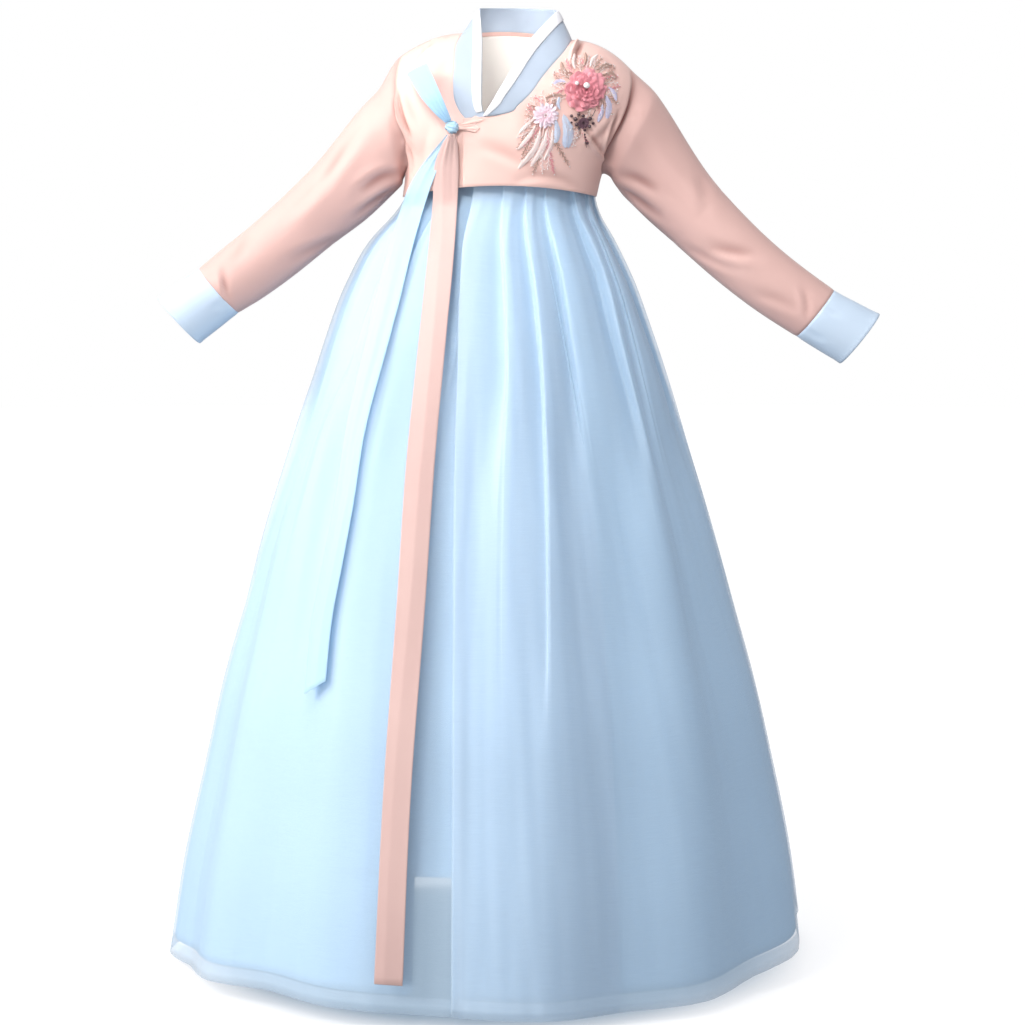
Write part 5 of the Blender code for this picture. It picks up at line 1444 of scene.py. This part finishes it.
def strap(centre, half, lean, width, ridges, full):
    """A band of gathered ribbon wound round the knot."""
    turn = np.linspace(0, 2 * math.pi, 48, endpoint=False)[:, None]
    across = np.linspace(-0.5, 0.5, 21)[None]
    ring = np.stack([np.cos(turn), np.sin(turn), 0 * turn], -1) * np.array(half) * full
    side = np.array([math.sin(lean), 0.0, math.cos(lean)])
    flat = np.stack([np.cos(turn) * math.cos(lean), np.sin(turn), -np.cos(turn) * math.sin(lean)], -1)
    dome = np.sqrt(np.clip(1 - (across * width / half[2]) ** 2 * 0.8, 0.2, 1))
    rib = 0.0007 * np.cos(ridges * math.pi * across + 1.1 * np.sin(2 * turn)) * (1 - (2 * across) ** 6)
    lengths = np.linalg.norm(ring, axis=-1)[..., None]
    points = np.array(centre) + flat * (lengths * dome[..., None] + rib[..., None])
    points = points + (across * width * (1 + 0.12 * np.sin(3 * turn)))[..., None] * side
    inner = np.array(centre) + (points - centre) * 0.93
    return wall(np.swapaxes(points, 0, 1), np.swapaxes(inner, 0, 1), closed=True)


core = ball(KNOT_CENTRE, np.array(KNOT_HALF) * 0.86, 20, 40, lambda a, b: 0.05 * np.cos(7 * b + 3 * a))
core = wall(core, KNOT_CENTRE + (core - KNOT_CENTRE) * 0.9, closed=True)
beside = KNOT_CENTRE + (0.001, 0, -0.0005)
knot = joined(
    "knot",
    [
        core,
        strap(KNOT_CENTRE, KNOT_HALF, math.radians(24), 0.0125, 5, 1.04),
        strap(beside, KNOT_HALF, math.radians(-58), 0.0085, 4, 0.97),
    ],
    sheer_ribbon,
)
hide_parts("goreum_knot")

# Flower spray ---------------------------------------------------------------------------------
# Chiffon petals cut singly, gathered and tacked down in rings, with pearls, satin-stitched leaves,
# couched stems and seed beads round them, all worked on the outer front.

ROSETTE, ROSETTE_RADIUS = (0.1060, -0.0820), 0.0310
BLOSSOM, BLOSSOM_RADIUS = (0.0520, -0.1190), 0.0200
BUD, BUD_RADIUS = (0.1080, -0.1290), 0.0090
PEARLS = {"pearl_large": (0.1035, -0.0800, 0.0048), "pearl_small": (0.0900, -0.0765, 0.0032)}
ROSETTE_RINGS = ((1.0, 0.0022), (0.84, 0.0065), (0.55, 0.0100), (0.22, 0.0110))
PETAL_LOWEST, PETAL_WALL, PEARL_GAP = 0.0011, 0.00018, 0.0006
picks = np.random.default_rng(14)


def on_outer_front(x, z, height):
    """A point this high above the outer front, square to it; x is from the body's middle."""
    step = 0.001
    here = body_point(x, z, lifted=True)
    right = body_point(x + step, z, lifted=True) - body_point(x - step, z, lifted=True)
    up = body_point(x, z + step, lifted=True) - body_point(x, z - step, lifted=True)
    return here + unit(np.cross(right, up)) * np.asarray(height)[..., None]


def spot(x, z, height):
    """One point this high above the outer front."""
    return on_outer_front(np.array([x]), np.array([z]), np.array([height]))[0]


def petal(centre, turn, start, length, width, low, high, cup, ruffle, notch):
    """One petal from the middle outwards: narrow foot, full round end, its rim ruffled and lifted."""
    along_it = np.linspace(0, 1, 15)[:, None]
    across = np.linspace(-1, 1, 17)[None]
    full = np.sin(math.pi * np.clip(along_it * 0.60 + 0.06, 0, 1)) ** 1.1
    dip = 0.16 * across**2 + notch * np.exp(-((across / 0.25) ** 2))
    reach = start + length * (along_it - dip * along_it**2)
    side = width / 2 * full * across
    phase = picks.uniform(0, 6.3)
    frill = np.sin(across * picks.uniform(4, 6.5) + phase) * ruffle * along_it**2
    height = low + (high - low) * np.sin(along_it * 1.75) + cup * (across**2) * along_it + frill
    height = height + 0.0004 * np.cos(across * 24 + phase) * (1 - along_it)
    x = centre[0] + reach * math.cos(turn) - side * math.sin(turn)
    z = centre[1] + reach * math.sin(turn) + side * math.cos(turn)
    height = np.maximum(height, PETAL_LOWEST)
    return wall(on_outer_front(x, z, height), on_outer_front(x, z, height - PETAL_WALL))


def chiffon(name, inner, outer, centre, radius, sheen=0.5):
    """Chiffon, deeper in colour towards the flower's middle."""
    made, start, shader = new_finish(
        name, Sheen_Weight=sheen, Sheen_Roughness=0.35, Specular_IOR_Level=0.3
    )
    ends = {0: start.node("ShaderNodeTexCoord", output=3), 1: tuple(spot(*centre, 0.004))}
    gap = start.node("ShaderNodeVectorMath", {"operation": "DISTANCE"}, ends, output=1)
    share = start.node("ShaderNodeMapRange", {}, {0: gap, 1: 0.1 * radius, 2: radius})
    tone = paint(start, inner, outer, share)
    pale = tuple(min(1, part * 1.12 + 0.04) for part in outer)
    plug(shader.inputs["Base Color"], paint(start, tone, pale, drift(start, 120.0) * 0.6))
    plug(shader.inputs["Roughness"], drift(start, 200.0) * 0.15 + 0.45)
    set_bump(start, shader, drift(start, 900.0, 1.0), 0.0002, 0.35)
    return made


rose_chiffon = chiffon(
    "rose chiffon", (0.52, 0.10, 0.14), (0.72, 0.285, 0.325), ROSETTE, ROSETTE_RADIUS
)
lilac_chiffon = chiffon(
    "lilac chiffon", (0.74, 0.40, 0.48), (0.75, 0.665, 0.73), BLOSSOM, BLOSSOM_RADIUS
)
plum_chiffon = chiffon("plum chiffon", (0.05, 0.02, 0.03), (0.17, 0.08, 0.11), BUD, BUD_RADIUS, 0.3)


def flower(name, node, finish, centre, rings, twist):
    petals = []
    for number, (count, start, length, width, low, high, cup, ruffle, notch) in enumerate(rings):
        for k in range(count):
            turn = 2 * math.pi * (k + 0.5 * number) / count + twist + picks.uniform(-0.09, 0.09)
            size = picks.uniform(0.92, 1.05)
            petals.append(
                petal(centre, turn, start, length * size, width * size, low, high, cup, ruffle, notch)
            )
    made = joined(name, petals, finish)
    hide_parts(node)
    return made


flower("rose", "rosette", rose_chiffon, ROSETTE, (
    (8, 0.0060, 0.0250, 0.0290, 0.0012, 0.0040, 0.0012, 0.0016, 0.14),
    (7, 0.0045, 0.0205, 0.0250, 0.0022, 0.0068, 0.0016, 0.0016, 0.16),
    (6, 0.0030, 0.0155, 0.0200, 0.0034, 0.0094, 0.0018, 0.0014, 0.14),
    (5, 0.0015, 0.0105, 0.0140, 0.0046, 0.0104, 0.0014, 0.0010, 0.12),
    (4, 0.0006, 0.0062, 0.0090, 0.0060, 0.0106, 0.0010, 0.0006, 0.10),
), 0.3)
flower("small_blossom", "blossom", lilac_chiffon, BLOSSOM, (
    (7, 0.0020, 0.0180, 0.0130, 0.0011, 0.0026, 0.0006, 0.0010, 0.30),
    (6, 0.0014, 0.0130, 0.0110, 0.0018, 0.0040, 0.0007, 0.0008, 0.24),
    (5, 0.0008, 0.0082, 0.0080, 0.0026, 0.0050, 0.0006, 0.0005, 0.16),
), 0.9)
flower("plum_bud", "bud", plum_chiffon, BUD, (
    (6, 0.0008, 0.0078, 0.0070, 0.0011, 0.0028, 0.0004, 0.0004, 0.10),
    (4, 0.0002, 0.0050, 0.0050, 0.0018, 0.0040, 0.0003, 0.0002, 0.05),
), 0.2)

pearl_finish, start, shader = new_finish(
    "pearl", Roughness=0.16, Coat_Weight=0.7, Coat_Roughness=0.05, Sheen_Weight=0.2,
    Specular_IOR_Level=0.6,
)
tone = paint(start, (0.86, 0.79, 0.74), (0.90, 0.80, 0.84), drift(start, 160.0))
plug(shader.inputs["Base Color"], tone)
set_bump(start, shader, drift(start, 500.0), 0.0001, 0.2)


def bead(centre, radius, levels, around):
    """A bead, a little flat at its two drilled ends."""
    body = ball(centre, (radius, radius * 0.96, radius * 0.93), levels, around)
    return wall(body, np.array(centre) + (body - centre) * 0.6, closed=True)


for name, (x, z, radius) in PEARLS.items():
    shares, heights = zip(*sorted(ROSETTE_RINGS))
    gap = math.hypot(x - ROSETTE[0], z - ROSETTE[1]) / ROSETTE_RADIUS
    seat = float(np.interp(gap, shares, heights)) + radius + PEARL_GAP
    centre = spot(x, z, seat)
    pearl = joined(f"{name}_bead", [bead(centre, radius, 24, 36)], pearl_finish)
    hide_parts(name)


THREAD_SIDES = 5
THREAD_SPAN = 0.01  # a stitch's length and girth in its UVs


def thread(places, heights, radius):
    """One stitch or couched thread: a fine tube through (x, z) places on the panel."""
    places, heights = np.asarray(places, float), np.asarray(heights, float)
    line = on_outer_front(places[:, 0], places[:, 1], heights)
    ahead = unit(np.gradient(line, axis=0))
    side = unit(np.cross(ahead, np.array([0.2, -1.0, 0.1])))
    lift_way = np.cross(side, ahead)
    turn = np.linspace(0, 2 * math.pi, THREAD_SIDES, endpoint=False)
    steps = np.arange(len(line))
    taper = np.clip(np.minimum(steps, steps[::-1]) + 0.3, 0, 1)
    ring = side[:, None] * np.cos(turn)[:, None] + lift_way[:, None] * np.sin(turn)[:, None]
    tube = line[:, None] + ring * (radius * taper)[:, None, None]
    u, v = (np.linspace(0, THREAD_SPAN, count) for count in (THREAD_SIDES + 1, len(line)))
    u, v = np.meshgrid(u, v)
    return surface_of(np.concatenate([tube, tube[:, :1]], axis=1), u, v)


def curve(points, count):
    """A smooth run of (x, z) places through a few."""
    points = np.asarray(points, float)
    return smooth_line(np.linspace(0, 1, len(points)), points, np.linspace(0, 1, count))


def silk_thread(name, low, high):
    made, start, shader = new_finish(
        name, Sheen_Weight=0.35, Sheen_Roughness=0.3, Specular_IOR_Level=0.5
    )
    plug(shader.inputs["Base Color"], paint(start, low, high, drift(start, 70.0)))
    plug(shader.inputs["Roughness"], drift(start, 300.0) * 0.15 + 0.35)
    set_bump(start, shader, drift(start, 1500.0, 1.0), 0.0001, 0.3)
    return made


STITCH_LOW, STITCH_HIGH, STITCH_RADIUS = 0.0011, 0.0019, 0.00034


def stitched_leaf(path, half_width, pitch, slant):
    """A leaf filled with slanting stitches on both sides of its rib."""
    rib = curve(path, 40)
    reach = np.append(0, np.cumsum(np.linalg.norm(np.diff(rib, axis=0), axis=1)))
    stitches = [thread(rib, np.full(len(rib), STITCH_HIGH + 0.0002), STITCH_RADIUS * 1.2)]
    for at in np.arange(0.03 * reach[-1], 0.97 * reach[-1], pitch):
        share = at / reach[-1]
        foot = np.array([np.interp(at, reach, rib[:, i]) for i in (0, 1)])
        ahead = np.array([np.interp(at + 0.0005, reach, rib[:, i]) for i in (0, 1)]) - foot
        ahead = ahead / max(np.linalg.norm(ahead), 1e-9)
        wide = half_width * math.sin(math.pi * (0.06 + 0.9 * share)) ** 0.75
        for sign in (-1, 1):
            side = np.array([-ahead[1], ahead[0]]) * sign
            length = wide * picks.uniform(0.9, 1.08)
            end = foot + side * length + ahead * length * slant
            line = curve([foot, (foot + end) / 2, end], 5)
            heights = np.linspace(STITCH_HIGH, STITCH_LOW, 5) + picks.uniform(0, 0.0002)
            stitches.append(thread(line, heights, STITCH_RADIUS))
    return stitches


ivory_silk = silk_thread("ivory silk", (0.80, 0.60, 0.57), (0.93, 0.84, 0.81))
blue_silk = silk_thread("blue silk", (0.52, 0.60, 0.78), (0.76, 0.81, 0.91))
lilac_silk = silk_thread("lilac silk", (0.56, 0.52, 0.72), (0.76, 0.74, 0.88))
taupe_silk = silk_thread("taupe silk", (0.36, 0.20, 0.16), (0.62, 0.43, 0.36))

LEAVES = {  # a blade's places (x, z) and its half width; the widest are worked first
    "leaf_long": ("ivory", ivory_silk, [
        (((0.0470, -0.1400), (0.0400, -0.1660), (0.0200, -0.1960)), 0.0052),
        (((0.0560, -0.1380), (0.0520, -0.1640), (0.0380, -0.1930)), 0.0044),
        (((0.0390, -0.1330), (0.0300, -0.1500), (0.0160, -0.1680)), 0.0040),
        (((0.0340, -0.1250), (0.0250, -0.1330), (0.0160, -0.1450)), 0.0032),
        (((0.0640, -0.1380), (0.0640, -0.1600), (0.0560, -0.1830)), 0.0034),
        (((0.0880, -0.0510), (0.0840, -0.0400), (0.0850, -0.0270)), 0.0030),
        (((0.1090, -0.0480), (0.1120, -0.0360), (0.1190, -0.0280)), 0.0032),
    ]),
    "leaf_feather": ("blue", blue_silk, [
        (((0.0770, -0.1160), (0.0860, -0.1390), (0.0870, -0.1640)), 0.0088),
        (((0.0670, -0.1240), (0.0710, -0.1420), (0.0700, -0.1580)), 0.0050),
        (((0.0720, -0.1100), (0.0680, -0.1010), (0.0690, -0.0920)), 0.0030),
    ]),
    "leaf_side": ("lilac", lilac_silk, [
        (((0.1370, -0.0880), (0.1430, -0.1040), (0.1420, -0.1220)), 0.0050),
        (((0.1330, -0.1010), (0.1330, -0.1140), (0.1290, -0.1270)), 0.0036),
        (((0.1390, -0.0760), (0.1480, -0.0840), (0.1530, -0.0960)), 0.0034),
        (((0.0760, -0.0700), (0.0660, -0.0680), (0.0580, -0.0730)), 0.0030),
    ]),
    "leaf_upper": ("taupe", taupe_silk, [
        (((0.0990, -0.0480), (0.1020, -0.0370), (0.1000, -0.0250)), 0.0030),
        (((0.1190, -0.0520), (0.1300, -0.0440), (0.1420, -0.0440)), 0.0034),
        (((0.1280, -0.0590), (0.1400, -0.0560), (0.1500, -0.0620)), 0.0030),
        (((0.0790, -0.0590), (0.0700, -0.0500), (0.0660, -0.0400)), 0.0032),
        (((0.0740, -0.0900), (0.0620, -0.0880), (0.0500, -0.0930)), 0.0030),
    ]),
}
for node, (word, finish, blades) in LEAVES.items():
    pitch, slant = (0.00095, 1.1) if node == "leaf_feather" else (0.00072, 0.8)
    stitches = []
    for path, half_width in blades:
        stitches += stitched_leaf(path, half_width, pitch, slant)
    leaf = joined(f"{word}_leaves", stitches, finish)
    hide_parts(node)

# Fans of couched stems round each flower: its middle, how far out they start, the turn they spread
# over in degrees, how many, how long they are and how they bend.
SPRIG_FANS = (
    (ROSETTE, 0.0260, (-32, 205), 27, (0.016, 0.031), 0.5),
    (ROSETTE, 0.0280, (-78, -40), 4, (0.010, 0.018), -0.4),
    (BLOSSOM, 0.0150, (70, 215), 13, (0.010, 0.021), 0.6),
    (BLOSSOM, 0.0160, (222, 296), 11, (0.036, 0.072), -0.35),
    (BUD, 0.0060, (-150, -70), 4, (0.014, 0.030), 0.3),
)
EDGE_ROOM = (  # the side next to the collar band: x at each height
    (-0.215, 0.0), (-0.13, 0.016), (-0.09, 0.029), (-0.06, 0.047), (-0.04, 0.059), (-0.02, 0.074),
)
HEM_ROOM, SEAM_ROOM = 0.012, 0.016
SHORTEST_STEM, TRIM = 0.006, 0.8
STEM_HEIGHT, STEM_RADIUS, STEM_POINTS = 0.0014, 0.00050, 24
SHOOT_HEIGHT, SHOOT_RADIUS, SHOOT_LENGTH, SHOOT_GAP = 0.0013, 0.00052, 0.0056, 0.0032
SEED, END_SEED = 0.0008, 0.0010  # radii of the beads along a stem and at its end
sprig_sorts = {"taupe": ([], taupe_silk), "ivory": ([], ivory_silk), "rose": ([], rose_chiffon)}
seeds = []


def on_cloth(place):
    """Whether a place is on the panel with room to spare, clear of its band, hem and armhole."""
    x, z = place
    nearest = np.interp(z, *zip(*EDGE_ROOM))
    armhole = 0.158 - max(0, -0.12 - z) * 0.55
    return (
        nearest < x < armhole and hem_height(x) + HEM_ROOM < z < seam_height(x) - SEAM_ROOM
    )


for centre, start_reach, spread, count, lengths, bend in SPRIG_FANS:
    for number in range(count):
        step = number + picks.uniform(0.2, 0.8)
        turn = math.radians(spread[0] + (spread[1] - spread[0]) * step / count)
        length = picks.uniform(*lengths)
        curl = bend * picks.uniform(0.5, 1.3) * (1 if number % 2 else -0.6)
        path = []
        for share in (0, 0.5, 1):
            at = turn + curl * share * 0.6
            way = np.array([math.cos(at), math.sin(at)])
            path.append(np.array(centre) + (start_reach + length * share) * way)
        while not on_cloth(path[-1]) and length > SHORTEST_STEM:
            length *= TRIM
            path = [path[0] + (place - path[0]) * TRIM for place in path]
        if length <= SHORTEST_STEM:
            continue
        stems = sprig_sorts[("taupe", "ivory", "taupe", "rose", "ivory")[number % 5]][0]
        rib = curve(path, STEM_POINTS)
        stems.append(thread(rib, np.full(STEM_POINTS, STEM_HEIGHT), STEM_RADIUS))
        shoots = max(4, int(length / SHOOT_GAP))
        for k in range(shoots):
            share = 0.22 + 0.76 * k / max(shoots - 1, 1)
            i = int(share * (STEM_POINTS - 2))
            foot, ahead = rib[i], unit(rib[i + 1] - rib[i])
            side = np.array([-ahead[1], ahead[0]]) * (1 if k % 2 else -1)
            way = side * 0.8 + ahead * 0.9
            end = foot + way * SHOOT_LENGTH * (1.15 - 0.55 * share) * picks.uniform(0.8, 1.2)
            middle = (foot + end) / 2 + ahead * 0.0009
            shoot = curve([foot, middle, end], 6)
            stems.append(thread(shoot, np.full(6, SHOOT_HEIGHT), SHOOT_RADIUS))
            if k % 3 == 1:
                seeds.append((end, SEED))
        seeds.append((rib[-1], END_SEED))
for sort, (stems, finish) in sprig_sorts.items():
    sprigs = joined(f"{sort}_sprigs", stems, finish)

SEED_RING, MIDDLE = 0.0023, 0.006  # the ring of beads in the blossom's middle, and its reach
ON_PETALS, ON_CLOTH = 0.0058, 0.0016  # what a seed bead rests on
for turn in np.linspace(0, 2 * math.pi, 9, endpoint=False):
    place = (BLOSSOM[0] + SEED_RING * math.cos(turn), BLOSSOM[1] + SEED_RING * math.sin(turn))
    seeds.append((place, SEED))
beads = []
for (x, z), radius in seeds:
    on_flower = math.hypot(x - BLOSSOM[0], z - BLOSSOM[1]) < MIDDLE
    height = (ON_PETALS if on_flower else ON_CLOTH) + radius * 0.5
    beads.append(bead(spot(x, z, height), radius, 7, 9))
seed_beads = joined("seed_beads", beads, pearl_finish)

# Dark cut beads clustered at the bud, with a short chain and three couched stems.
DARK_STEM = 0.00042
dark_parts = [
    thread(curve(path, STEM_POINTS), np.full(STEM_POINTS, STEM_HEIGHT), DARK_STEM)
    for path in (
        ((0.1080, -0.1360), (0.1120, -0.1500), (0.1160, -0.1640)),
        ((0.1020, -0.1130), (0.0980, -0.1160), (0.1000, -0.1230)),
        ((0.1130, -0.1240), (0.1200, -0.1180), (0.1240, -0.1090)),
    )
]
DARK_BEADS = (
    (0.0890, -0.1190, 0.0024), (0.0950, -0.1235, 0.0034), (0.0975, -0.1310, 0.0030),
    (0.1015, -0.1365, 0.0022), (0.1000, -0.1165, 0.0022), (0.1160, -0.1225, 0.0033),
    (0.1215, -0.1290, 0.0024), (0.1165, -0.1335, 0.0028), (0.1105, -0.1390, 0.0022),
    (0.1060, -0.1185, 0.0026), (0.0900, -0.1285, 0.0018), (0.1110, -0.1450, 0.0014),
    (0.1125, -0.1490, 0.0012), (0.1140, -0.1530, 0.0014), (0.1158, -0.1572, 0.0022),
)
for x, z, radius in DARK_BEADS:
    dark_parts.append(bead(spot(x, z, 0.0012 + radius * 0.8), radius, 10, 14))
dark_finish, start, shader = new_finish(
    "dark beads", Roughness=0.22, Coat_Weight=0.6, Coat_Roughness=0.08, Specular_IOR_Level=0.6
)
tone = paint(start, (0.035, 0.015, 0.02), (0.10, 0.045, 0.055), drift(start, 260.0))
plug(shader.inputs["Base Color"], tone)
set_bump(start, shader, drift(start, 700.0, 1.0), 0.0002, 0.4)
dark_beads = joined("dark_beads", dark_parts, dark_finish)
